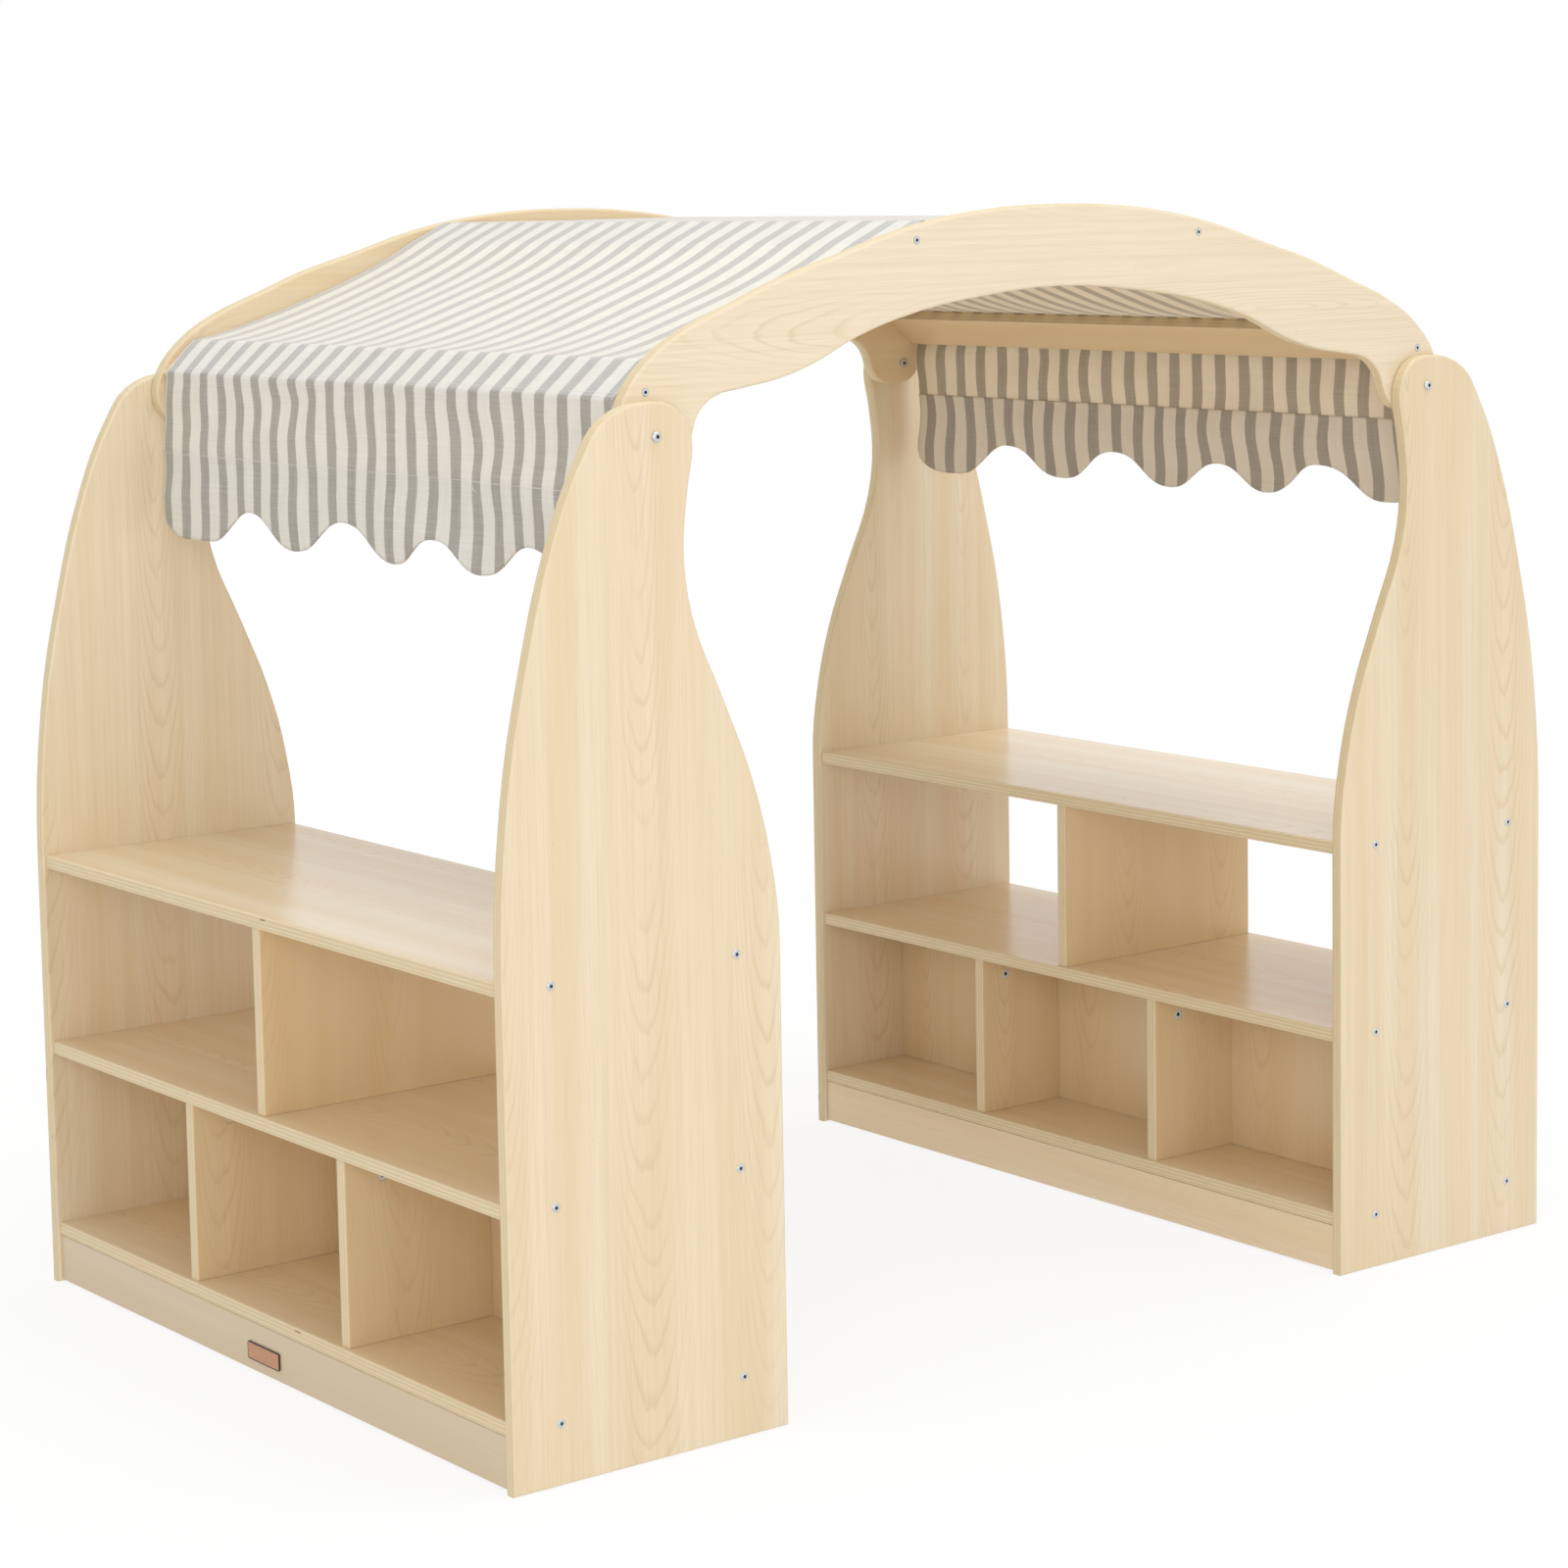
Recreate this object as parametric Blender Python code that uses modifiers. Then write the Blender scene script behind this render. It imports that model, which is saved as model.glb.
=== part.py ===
"""Play grocery store: two open shelf units joined by two arched boards that carry a striped cloth canopy.

All lengths are in metres. X runs from the left unit to the right one, Y from the front to the back, Z up.
The origin is on the floor, midway between the two units.
"""

import math

import bmesh
import bpy
from mathutils import Vector

# Boards and the gap kept between touching pieces.
BOARD = 0.018
BACK_BOARD = 0.012
CLEAR = 0.0003
OUTLINE_ROUND = 0.0035
SHELF_ROUND = 0.003
TOE_ROUND = 0.0015
SLAT_ROUND = 0.002

# The two units and the way between them.
UNIT_DEPTH = 0.400
UNIT_LENGTH = 1.160
WALK_WIDTH = 0.955

# Heights of the boards' top faces.
COUNTER_TOP = 0.600
MIDDLE_TOP = 0.340
BOTTOM_TOP = 0.084
TOE_LIFT = 0.0025

# How far each board stands back from the edges of the side panels.
SHELF_INSET = 0.005
TOE_INSET = 0.006
DIVIDER_INSET = 0.011

# The upright board in the lower row, measured from the unit's inner edge to its inner face.
BACK_BOARD_FROM_INNER = 0.165
LOWER_BAYS = 3

# Side panel outline in two runs. A point has its distance from that edge of the unit, its height,
# and how the outline runs there.
PANEL_OUTER_RUN = (
    (0.000, 0.000, "corner"),
    (0.000, COUNTER_TOP, "upright"),
    (0.013, 0.800, "smooth"),
    (0.042, 0.950, "smooth"),
    (0.085, 1.100, "smooth"),
    (0.126, 1.190, "smooth"),
    (0.160, 1.235, "smooth"),
    (0.222, 1.253, "level"),
)
PANEL_INNER_RUN = (
    (0.135, 1.242, "smooth"),
    (0.115, 1.198, "upright"),
    (0.124, 1.145, "smooth"),
    (0.1305, 1.080, "upright"),
    (0.120, 1.000, "smooth"),
    (0.078, 0.900, "smooth"),
    (0.037, 0.800, "smooth"),
    (0.011, 0.700, "smooth"),
    (0.000, COUNTER_TOP, "upright"),
    (0.000, 0.000, "corner"),
)
PANEL_STEPS = 4

# Half of the arch outline, from the middle of its top edge to the middle of its lower edge.
ARCH_OUTLINE = (
    (0.000, 1.469, "level"),
    (0.137, 1.462, "smooth"),
    (0.252, 1.443, "smooth"),
    (0.360, 1.412, "smooth"),
    (0.444, 1.388, "smooth"),
    (0.520, 1.359, "smooth"),
    (0.589, 1.332, "smooth"),
    (0.646, 1.296, "smooth"),
    (0.680, 1.254, "smooth"),
    (0.687, 1.226, "upright"),
    (0.673, 1.194, "smooth"),
    (0.640, 1.180, "level"),
    (0.600, 1.184, "smooth"),
    (0.583, 1.203, "smooth"),
    (0.570, 1.234, "smooth"),
    (0.545, 1.253, "smooth"),
    (0.510, 1.260, "smooth"),
    (0.448, 1.270, "smooth"),
    (0.392, 1.287, "smooth"),
    (0.328, 1.315, "smooth"),
    (0.235, 1.341, "smooth"),
    (0.139, 1.356, "smooth"),
    (0.000, 1.366, "level"),
)
ARCH_STEPS = 3

# The distance from the middle to a bolt that the arch and the slats' places are drawn for.
DRAWN_BOLT = 0.646

# Slats that tie the arches: distance from the middle, height, slope of the wide face, and the screw's
# place from the slat's middle, along its width and out towards the cloth.
SLAT_WIDTH = 0.065
END_SLAT = (0.6465, 1.269, math.radians(40), (0.004, -0.005))
TOP_SLAT = (0.2362, 1.4285, math.radians(25), (0.0, 0.0))

# Fasteners.
TURN_STEPS = 20
CUT_PAST = 0.001
KEY_DEPTH = 0.002
BOLT_FROM_OUTER = 0.2315
BOLT_ABOVE_ARCH_END = 0.032
BOLT_SHANK = 0.003
BOLT_HEAD = 0.0063
BOLT_HEAD_HEIGHT = 0.0034
BOLT_HEAD_RIM = 0.0008
BOLT_CROWN = 0.0028
BOLT_KEY = 0.0024
NUT_RADIUS = 0.007
NUT_HEIGHT = 0.0045
NUT_CHAMFER = 0.001
NUT_BORE_DEPTH = 0.003
SCREW_HEAD = 0.0048
SCREW_HEAD_DEPTH = 0.0035
SCREW_SEAT_GAP = 0.0005
SCREW_SHANK = 0.002
SCREW_LENGTH = 0.042
SCREW_KEY = 0.0018
CAM_RADIUS = 0.0073
CAM_DEPTH = 0.012
CAM_FROM_OUTER = 0.067
CAM_FROM_INNER = 0.058
CAM_BELOW_SHELF = 0.0285
CAM_KEY = 0.0026

# The plate on the left unit's outer toe board.
PLATE_LENGTH = 0.079
PLATE_HEIGHT = 0.023
PLATE_THICK = 0.002
PLATE_ROUND = 0.003
PLATE_MIDDLE = (0.5815, 0.0285)

# Cloth. The valances are doubled from their seam down.
CLOTH = 0.0012
DOUBLED = 0.0024
CLOTH_END_GAP = 0.001
ROOF_SAG = 0.0155
SAG_AT_ENDS = 0.88
TOP_SAG = 0.001
SAG_STEPS = 9
ROOF_COLUMNS = 12
VALANCE_COLUMNS = 48
VALANCE_GAP = 0.0006
SEAM_HEIGHT = 1.154
SEAM_ROW = 4
VALANCE_ROWS = 9
LEFT_LOWER_BY = 0.004
RIGHT_LOWER_BY = -0.004

# Scalloped hem, below the seam. The first notch is measured from the cloth's front edge.
FIRST_NOTCH = 0.187
LOBE_PITCH = 0.2277
NOTCH_BELOW_SEAM = 0.073
LOBE_BELOW_SEAM = 0.116

# Folds of the hanging cloth: how far they stand out, and how far apart they are.
FOLD_REST = 0.0045
WIDE_FOLD = 0.0038
WIDE_FOLD_PITCH = 0.228
WIDE_FOLD_START = 0.6
FINE_FOLD = 0.0015
FINE_FOLD_PITCH = 0.097
FINE_FOLD_START = 1.0
FOLDS_FULL_AT = 1.5

MAPLE = (0.86, 0.74, 0.56)
MAPLE_SHELF = (0.84, 0.71, 0.53)
CANVAS = (0.74, 0.71, 0.64)
ZINC = (0.72, 0.73, 0.74)
PLATE_BROWN = (0.36, 0.20, 0.12)
LACQUER_ROUGHNESS = 0.4
CANVAS_ROUGHNESS = 0.9
ZINC_ROUGHNESS = 0.35
PLATE_ROUGHNESS = 0.45

HALF_LENGTH = UNIT_LENGTH / 2
HALF_DEPTH = UNIT_DEPTH / 2
UNIT_MIDDLE = (WALK_WIDTH + UNIT_DEPTH) / 2
BOLT_ACROSS = WALK_WIDTH / 2 + UNIT_DEPTH - BOLT_FROM_OUTER
BOLT_HEIGHT = min(height for _, height, _ in ARCH_OUTLINE) + BOLT_ABOVE_ARCH_END
STRETCH = BOLT_ACROSS / DRAWN_BOLT
BETWEEN_ARCHES = UNIT_LENGTH - 4 * BOARD - 4 * CLEAR
CLOTH_WIDTH = BETWEEN_ARCHES - 2 * CLOTH_END_GAP


def clear_scene():
    for obj in list(bpy.data.objects):
        bpy.data.objects.remove(obj)


def new_collection(name, helper=False):
    collection = bpy.data.collections.new(name)
    collection.hide_render = helper
    bpy.context.scene.collection.children.link(collection)
    return collection


def add(name, data, collection, location=(0, 0, 0), rotation=(0, 0, 0), parent=None):
    obj = bpy.data.objects.new(name, data)
    collection.objects.link(obj)
    obj.location = location
    obj.rotation_euler = rotation
    obj.parent = parent
    return obj


def finish(obj, colour, roughness, metallic=0.0):
    material = bpy.data.materials.new(obj.name)
    material.use_nodes = True
    shader = material.node_tree.nodes["Principled BSDF"]
    shader.inputs["Base Color"].default_value = (*colour, 1.0)
    shader.inputs["Roughness"].default_value = roughness
    shader.inputs["Metallic"].default_value = metallic
    obj.data.materials.append(material)


def board(name, low, high, parent, edge_round=0.0, along=1, side=0):
    """A board between two corners. Its edges along one axis are rounded, on both sides or on one."""
    size = [b - a for a, b in zip(low, high)]
    middle = [(a + b) / 2 for a, b in zip(low, high)]
    shape = bmesh.new()
    bmesh.ops.create_cube(shape, size=1.0)
    bmesh.ops.scale(shape, vec=size, verts=shape.verts)
    weight = shape.edges.layers.float.new("bevel_weight_edge")
    for edge in shape.edges:
        start, end = (corner.co for corner in edge.verts)
        runs_along = abs(start[along] - end[along]) > CLEAR
        on_side = side == 0 or start.x * side > 0
        edge[weight] = 1.0 if runs_along and on_side else 0.0
    mesh = bpy.data.meshes.new(name)
    shape.to_mesh(mesh)
    shape.free()
    obj = add(name, mesh, PARTS, middle, parent=parent)
    if edge_round:
        rounding = obj.modifiers.new("rounded edges", "BEVEL")
        rounding.limit_method = "WEIGHT"
        rounding.width = edge_round
        rounding.segments = 3
    finish(obj, MAPLE_SHELF, LACQUER_ROUGHNESS)
    return obj


def set_edge_run(spline, outline):
    """Gives each outline point the handles for the way that the edge runs there."""
    count = len(outline)
    for index, (across, height, run) in enumerate(outline):
        point = spline.bezier_points[index]
        here = Vector((across, height, 0))
        point.co = here
        before = Vector((*outline[index - 1][:2], 0))
        after = Vector((*outline[(index + 1) % count][:2], 0))
        if run in ("upright", "level"):
            heading = Vector((0, 1, 0)) if run == "upright" else Vector((1, 0, 0))
            if heading.dot(after - before) < 0:
                heading.negate()
            point.handle_left_type = point.handle_right_type = "FREE"
            point.handle_left = here - heading * (here - before).length / 3
            point.handle_right = here + heading * (after - here).length / 3
        else:
            kind = "VECTOR" if run == "corner" else "AUTO"
            point.handle_left_type = point.handle_right_type = kind


def outlined_board(name, outline, front, steps, parent=None):
    """A board with a curved outline, standing in a plane across Y, with its front face at the given Y."""
    curve = bpy.data.curves.new(name, "CURVE")
    curve.dimensions = "2D"
    curve.fill_mode = "BOTH"
    curve.resolution_u = steps
    curve.extrude = BOARD / 2 - OUTLINE_ROUND
    curve.bevel_depth = OUTLINE_ROUND
    curve.bevel_resolution = 1
    curve.offset = -OUTLINE_ROUND
    spline = curve.splines.new("BEZIER")
    spline.bezier_points.add(len(outline) - 1)
    spline.use_cyclic_u = True
    set_edge_run(spline, outline)
    drawn = add(name + "_curve", curve, PARTS, (0, front + BOARD / 2, 0), (math.pi / 2, 0, 0), parent)
    bpy.context.view_layer.update()
    graph = bpy.context.evaluated_depsgraph_get()
    mesh = bpy.data.meshes.new_from_object(drawn.evaluated_get(graph))
    shape = bmesh.new()
    shape.from_mesh(mesh)
    bmesh.ops.remove_doubles(shape, verts=shape.verts, dist=0.00001)
    bmesh.ops.recalc_face_normals(shape, faces=shape.faces)
    shape.to_mesh(mesh)
    shape.free()
    mesh.name = name
    obj = add(name, mesh, PARTS)
    obj.matrix_world = drawn.matrix_world
    bpy.data.objects.remove(drawn)
    finish(obj, MAPLE, LACQUER_ROUGHNESS)
    return obj


def turned(name, profile, collection, location, rotation):
    """A turned piece. The profile of radius and height runs down its outer side."""
    mesh = bpy.data.meshes.new(name)
    points = [(radius, 0, height) for radius, height in profile]
    mesh.from_pydata(points, [(i, i + 1) for i in range(len(points) - 1)], [])
    obj = add(name, mesh, collection, location, rotation)
    turn = obj.modifiers.new("turned", "SCREW")
    turn.axis = "Z"
    turn.steps = turn.render_steps = TURN_STEPS
    turn.use_merge_vertices = True
    turn.merge_threshold = 0.00001
    turn.use_smooth_shade = True
    if collection == CUTTERS:
        make_helper(obj)
    return obj


def make_helper(obj):
    obj.hide_render = True
    obj.display_type = "WIRE"


def hex_key_hole(name, radius, location, rotation):
    """A six-sided cutter, centred on the face it is sunk into."""
    mesh = bpy.data.meshes.new(name)
    shape = bmesh.new()
    bmesh.ops.create_cone(
        shape, cap_ends=True, segments=6, radius1=radius, radius2=radius, depth=2 * KEY_DEPTH
    )
    shape.to_mesh(mesh)
    shape.free()
    obj = add(name, mesh, CUTTERS, location, rotation)
    make_helper(obj)
    return obj


def cut(obj, cutter):
    opening = obj.modifiers.new(cutter.name, "BOOLEAN")
    opening.operation = "DIFFERENCE"
    opening.object = cutter


def facing(toward_front):
    """Rotation that turns a piece's own Z to the front or to the back."""
    return (math.pi / 2, 0, 0) if toward_front else (-math.pi / 2, 0, 0)


def from_front(distance):
    return distance - HALF_LENGTH


def shelf_unit(side):
    """One unit. side is -1 for the left one and 1 for the right one, and its inner edge faces the other."""
    label = "left" if side < 0 else "right"
    unit = add(label + "_unit", None, PARTS, (side * UNIT_MIDDLE, 0, 0))

    def unit_board(name, out, inn, front, back, bottom, top, **rounding):
        across = sorted(-side * (edge - HALF_DEPTH) for edge in (out, inn))
        low = (across[0], from_front(front), bottom)
        high = (across[1], from_front(back), top)
        return board(f"{label}_{name}", low, high, unit, **rounding)

    outline = [(side * (HALF_DEPTH - out), height, run) for out, height, run in PANEL_OUTER_RUN]
    outline += [(side * (inn - HALF_DEPTH), height, run) for inn, height, run in PANEL_INNER_RUN]
    front_panel, back_panel = (
        outlined_board(f"{label}_{end}_side_panel", outline, from_front(start), PANEL_STEPS, unit)
        for end, start in (("front", 0), ("back", UNIT_LENGTH - BOARD))
    )

    near = BOARD + CLEAR
    far = UNIT_LENGTH - BOARD - CLEAR
    for name, top in (
        ("counter_top", COUNTER_TOP),
        ("middle_shelf", MIDDLE_TOP),
        ("bottom_shelf", BOTTOM_TOP),
    ):
        unit_board(
            name, SHELF_INSET, UNIT_DEPTH - SHELF_INSET, near, far, top - BOARD, top,
            edge_round=SHELF_ROUND, along=1,
        )
    toe_top = BOTTOM_TOP - BOARD - CLEAR
    unit_board(
        "outer_toe_board", TOE_INSET, TOE_INSET + BOARD, near, far, TOE_LIFT, toe_top,
        edge_round=TOE_ROUND, along=1,
    )
    unit_board(
        "inner_toe_board", UNIT_DEPTH - TOE_INSET - BOARD, UNIT_DEPTH - TOE_INSET, near, far,
        TOE_LIFT, toe_top, edge_round=TOE_ROUND, along=1,
    )

    upper_low = MIDDLE_TOP + CLEAR
    upper_high = COUNTER_TOP - BOARD - CLEAR
    half_board = BOARD / 2
    unit_board(
        "upper_divider", DIVIDER_INSET, UNIT_DEPTH - DIVIDER_INSET, HALF_LENGTH - half_board,
        HALF_LENGTH + half_board, upper_low, upper_high, edge_round=SHELF_ROUND, along=2,
    )

    lower_low = BOTTOM_TOP + CLEAR
    lower_high = MIDDLE_TOP - BOARD - CLEAR
    back_inner = UNIT_DEPTH - BACK_BOARD_FROM_INNER
    back_outer = back_inner - BACK_BOARD
    unit_board("lower_back_panel", back_outer, back_inner, near, far, lower_low, lower_high)
    bay = (UNIT_LENGTH - 2 * BOARD - (LOWER_BAYS - 1) * BOARD) / LOWER_BAYS
    for place, number in (("front", 1), ("back", 2)):
        start = BOARD + number * bay + (number - 1) * BOARD
        for half, out, inn, open_side, cam_out in (
            ("outer", DIVIDER_INSET, back_outer - CLEAR, side, CAM_FROM_OUTER),
            ("inner", back_inner + CLEAR, UNIT_DEPTH - DIVIDER_INSET, -side,
             UNIT_DEPTH - CAM_FROM_INNER),
        ):
            divider = unit_board(
                f"{half}_{place}_divider", out, inn, start, start + BOARD, lower_low,
                lower_high, edge_round=SHELF_ROUND, along=2, side=open_side,
            )
            across = side * (UNIT_MIDDLE + HALF_DEPTH - cam_out)
            cam_fitting(f"{label}_{half}_{place}_cam", divider, across, from_front(start))
    return front_panel, back_panel


def cam_fitting(name, divider, across, front):
    """A round cam sunk in the front face of a divider, near the shelf that it pulls on."""
    place = (across, front, MIDDLE_TOP - BOARD - CAM_BELOW_SHELF)
    hole_profile = (
        (0, CUT_PAST),
        (CAM_RADIUS + CLEAR, CUT_PAST),
        (CAM_RADIUS + CLEAR, -CAM_DEPTH - CLEAR),
        (0, -CAM_DEPTH - CLEAR),
    )
    cam_profile = (
        (0, 0),
        (CAM_RADIUS - CLEAR, 0),
        (CAM_RADIUS, -CLEAR),
        (CAM_RADIUS, -CAM_DEPTH),
        (0, -CAM_DEPTH),
    )
    turn = facing(toward_front=True)
    cut(divider, turned(name + "_hole", hole_profile, CUTTERS, place, turn))
    cam = turned(name, cam_profile, PARTS, place, turn)
    cut(cam, hex_key_hole(name + "_key", CAM_KEY, place, turn))
    finish(cam, ZINC, ZINC_ROUGHNESS, metallic=1.0)


def slat(name, side, place):
    """A flat slat along Y, tilted so that its wide face follows the cloth."""
    across, height, slope, _ = place
    half = (SLAT_WIDTH / 2, BETWEEN_ARCHES / 2, BOARD / 2)
    low = tuple(-value for value in half)
    obj = board(name, low, half, None, edge_round=SLAT_ROUND, along=1)
    obj.location = (side * across * STRETCH, 0, height)
    obj.rotation_euler = (0, side * slope, 0)
    return obj


def slat_point(place, along, out):
    """A point by a right-hand slat, from its middle: along its width, and out towards the cloth."""
    across, height, slope, _ = place
    downhill = Vector((math.cos(slope), -math.sin(slope)))
    outward = Vector((math.sin(slope), math.cos(slope)))
    return Vector((across * STRETCH, height)) + along * downhill + out * outward


def slat_screw(name, arch, tie, side, place, toward_front):
    """A flat-headed screw through an arch into the end of a slat."""
    across, height = slat_point(place, *place[3])
    face = HALF_LENGTH - BOARD - CLEAR
    where = (side * across, -face if toward_front else face, height)
    turn = facing(toward_front)
    profile = (
        (0, 0),
        (SCREW_HEAD, 0),
        (SCREW_SHANK, -SCREW_HEAD_DEPTH),
        (SCREW_SHANK, -SCREW_LENGTH),
        (0, -SCREW_LENGTH),
    )
    hole_profile = (
        (0, CUT_PAST),
        (SCREW_HEAD + SCREW_SEAT_GAP, CUT_PAST),
        (SCREW_HEAD + SCREW_SEAT_GAP, 0),
        (SCREW_SHANK + CLEAR, -SCREW_HEAD_DEPTH - CLEAR),
        (SCREW_SHANK + CLEAR, -SCREW_LENGTH - CLEAR),
        (0, -SCREW_LENGTH - CLEAR),
    )
    hole = turned(name + "_hole", hole_profile, CUTTERS, where, turn)
    cut(arch, hole)
    cut(tie, hole)
    screw = turned(name, profile, PARTS, where, turn)
    cut(screw, hex_key_hole(name + "_key", SCREW_KEY, where, turn))
    finish(screw, ZINC, ZINC_ROUGHNESS, metallic=1.0)


def bolt_and_nut(name, panel, arch, side, toward_front):
    """A button-headed bolt through a side panel and the end of an arch, with a blind nut inside."""
    sign = -1 if toward_front else 1
    where = (side * BOLT_ACROSS, sign * HALF_LENGTH, BOLT_HEIGHT)
    turn = facing(toward_front)
    nut_face = -(2 * BOARD + 2 * CLEAR)
    bore = BOLT_SHANK + CLEAR
    tip = nut_face - NUT_BORE_DEPTH + CLEAR
    rim = CLEAR + BOLT_HEAD_RIM
    dome_height = BOLT_HEAD_HEIGHT - BOLT_HEAD_RIM
    dome = (
        (BOLT_HEAD * math.cos(angle), rim + dome_height * math.sin(angle))
        for angle in (math.pi / 4, math.pi / 8, 0)
    )
    bolt_profile = (
        (0, BOLT_HEAD_HEIGHT + CLEAR),
        (BOLT_CROWN, BOLT_HEAD_HEIGHT + CLEAR),
        *dome,
        (BOLT_HEAD, CLEAR),
        (BOLT_SHANK, CLEAR),
        (BOLT_SHANK, tip),
        (0, tip),
    )
    nut_profile = (
        (0, nut_face - NUT_BORE_DEPTH),
        (bore, nut_face - NUT_BORE_DEPTH),
        (bore, nut_face),
        (NUT_RADIUS, nut_face),
        (NUT_RADIUS, nut_face - NUT_HEIGHT + NUT_CHAMFER),
        (NUT_RADIUS - NUT_CHAMFER, nut_face - NUT_HEIGHT),
        (0, nut_face - NUT_HEIGHT),
    )
    hole_profile = (
        (0, CUT_PAST),
        (bore, CUT_PAST),
        (bore, nut_face - CUT_PAST),
        (0, nut_face - CUT_PAST),
    )
    hole = turned(name + "_hole", hole_profile, CUTTERS, where, turn)
    cut(panel, hole)
    cut(arch, hole)
    bolt = turned(name, bolt_profile, PARTS, where, turn)
    head_top = (where[0], sign * (HALF_LENGTH + BOLT_HEAD_HEIGHT + CLEAR), BOLT_HEIGHT)
    cut(bolt, hex_key_hole(name + "_key", BOLT_KEY, head_top, turn))
    nut = turned(name.replace("bolt", "nut"), nut_profile, PARTS, where, turn)
    finish(bolt, ZINC, ZINC_ROUGHNESS, metallic=1.0)
    finish(nut, ZINC, ZINC_ROUGHNESS, metallic=1.0)


def cloth_over(place, along):
    """Where the cloth's outer face lies over a slat, at a distance along the slat's width."""
    return slat_point(place, along, BOARD / 2 + CLEAR + CLOTH)


def roof_profile():
    """Half of the roof's outer face, from the middle to the stitched edge, each point with its sag."""
    half = SLAT_WIDTH / 2
    top_high, top_low = cloth_over(TOP_SLAT, -half), cloth_over(TOP_SLAT, half)
    end_high, end_low = cloth_over(END_SLAT, -half), cloth_over(END_SLAT, half)
    points = [
        (Vector((0, top_high.y)), TOP_SAG),
        (Vector((top_high.x / 2, top_high.y)), TOP_SAG / 2),
        (top_high, 0),
        ((top_high + top_low) / 2, 0),
        (top_low, 0),
    ]
    for step in range(1, SAG_STEPS):
        share = step / SAG_STEPS
        sag = ROOF_SAG * (1 - abs(2 * share - 1) ** 3)
        points.append((top_low.lerp(end_high, share), sag))
    points += [(end_high, 0), ((end_high + end_low) / 2, 0), (end_low, 0)]
    return points


def canopy_roof():
    half = roof_profile()
    whole = [(Vector((-place.x, place.y)), sag) for place, sag in reversed(half)] + half[1:]
    rows = len(whole) - 1
    shape = bmesh.new()
    bmesh.ops.create_grid(shape, x_segments=rows, y_segments=ROOF_COLUMNS, size=0.5)
    for vertex in shape.verts:
        place, sag = whole[round((vertex.co.x + 0.5) * rows)]
        slack = SAG_AT_ENDS + (1 - SAG_AT_ENDS) * math.cos(math.pi * vertex.co.y)
        vertex.co = (place.x, CLOTH_WIDTH * vertex.co.y, place.y - sag * slack)
    mesh = bpy.data.meshes.new("canopy_roof")
    shape.to_mesh(mesh)
    shape.free()
    obj = add("canopy_roof", mesh, PARTS)
    layer = obj.modifiers.new("cloth", "SOLIDIFY")
    layer.thickness = CLOTH
    layer.offset = -1
    finish(obj, CANVAS, CANVAS_ROUGHNESS)


def hem_below_seam(depth):
    """How far the hem lies below the seam. It is level from the end lobes to the cloth's edges."""
    last_notch = FIRST_NOTCH + LOBE_PITCH * math.floor((CLOTH_WIDTH - FIRST_NOTCH) / LOBE_PITCH)
    half_lobe = LOBE_PITCH / 2
    held = min(max(depth, FIRST_NOTCH - half_lobe), last_notch + half_lobe)
    swing = math.cos(2 * math.pi * (held - FIRST_NOTCH) / LOBE_PITCH)
    middle = (NOTCH_BELOW_SEAM + LOBE_BELOW_SEAM) / 2
    return middle - swing * (LOBE_BELOW_SEAM - NOTCH_BELOW_SEAM) / 2


def fold_out(depth, share):
    """How far the hanging cloth stands out, for a share from 0 at the stitched edge to 1."""
    wide = math.sin(2 * math.pi * depth / WIDE_FOLD_PITCH + WIDE_FOLD_START)
    fine = math.sin(2 * math.pi * depth / FINE_FOLD_PITCH + FINE_FOLD_START)
    return share * (FOLD_REST + WIDE_FOLD * wide + FINE_FOLD * fine)


def valance(side):
    """The hanging cloth over one counter, doubled below its seam and cut to a scalloped hem."""
    label = "left" if side < 0 else "right"
    half = SLAT_WIDTH / 2
    top = cloth_over(END_SLAT, half).y - CLOTH * math.cos(END_SLAT[2]) - CLEAR
    outer = slat_point(END_SLAT, half, BOARD / 2).x + VALANCE_GAP + CLOTH
    seam = SEAM_HEIGHT - (LEFT_LOWER_BY if side < 0 else RIGHT_LOWER_BY)
    shape = bmesh.new()
    bmesh.ops.create_grid(shape, x_segments=VALANCE_COLUMNS, y_segments=VALANCE_ROWS, size=0.5)
    doubled = []
    for vertex in shape.verts:
        depth = (vertex.co.x + 0.5) * CLOTH_WIDTH
        row = round((0.5 - vertex.co.y) * VALANCE_ROWS)
        if row <= SEAM_ROW:
            height = top + (seam - top) * row / SEAM_ROW
        else:
            height = seam - hem_below_seam(depth) * (row - SEAM_ROW) / (VALANCE_ROWS - SEAM_ROW)
        doubled.append(row > SEAM_ROW)
        share = min(1, (top - height) / (top - seam) / FOLDS_FULL_AT)
        out = outer + fold_out(depth, share)
        vertex.co = (side * out, depth - CLOTH_WIDTH / 2, height)
    mesh = bpy.data.meshes.new(label + "_valance")
    shape.to_mesh(mesh)
    shape.free()
    obj = add(label + "_valance", mesh, PARTS)
    layers = obj.vertex_groups.new(name="layers")
    for index, is_double in enumerate(doubled):
        layers.add([index], 1 if is_double else CLOTH / DOUBLED, "REPLACE")
    layer = obj.modifiers.new("cloth", "SOLIDIFY")
    layer.thickness = DOUBLED
    layer.offset = -side
    layer.vertex_group = "layers"
    finish(obj, CANVAS, CANVAS_ROUGHNESS)


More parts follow.
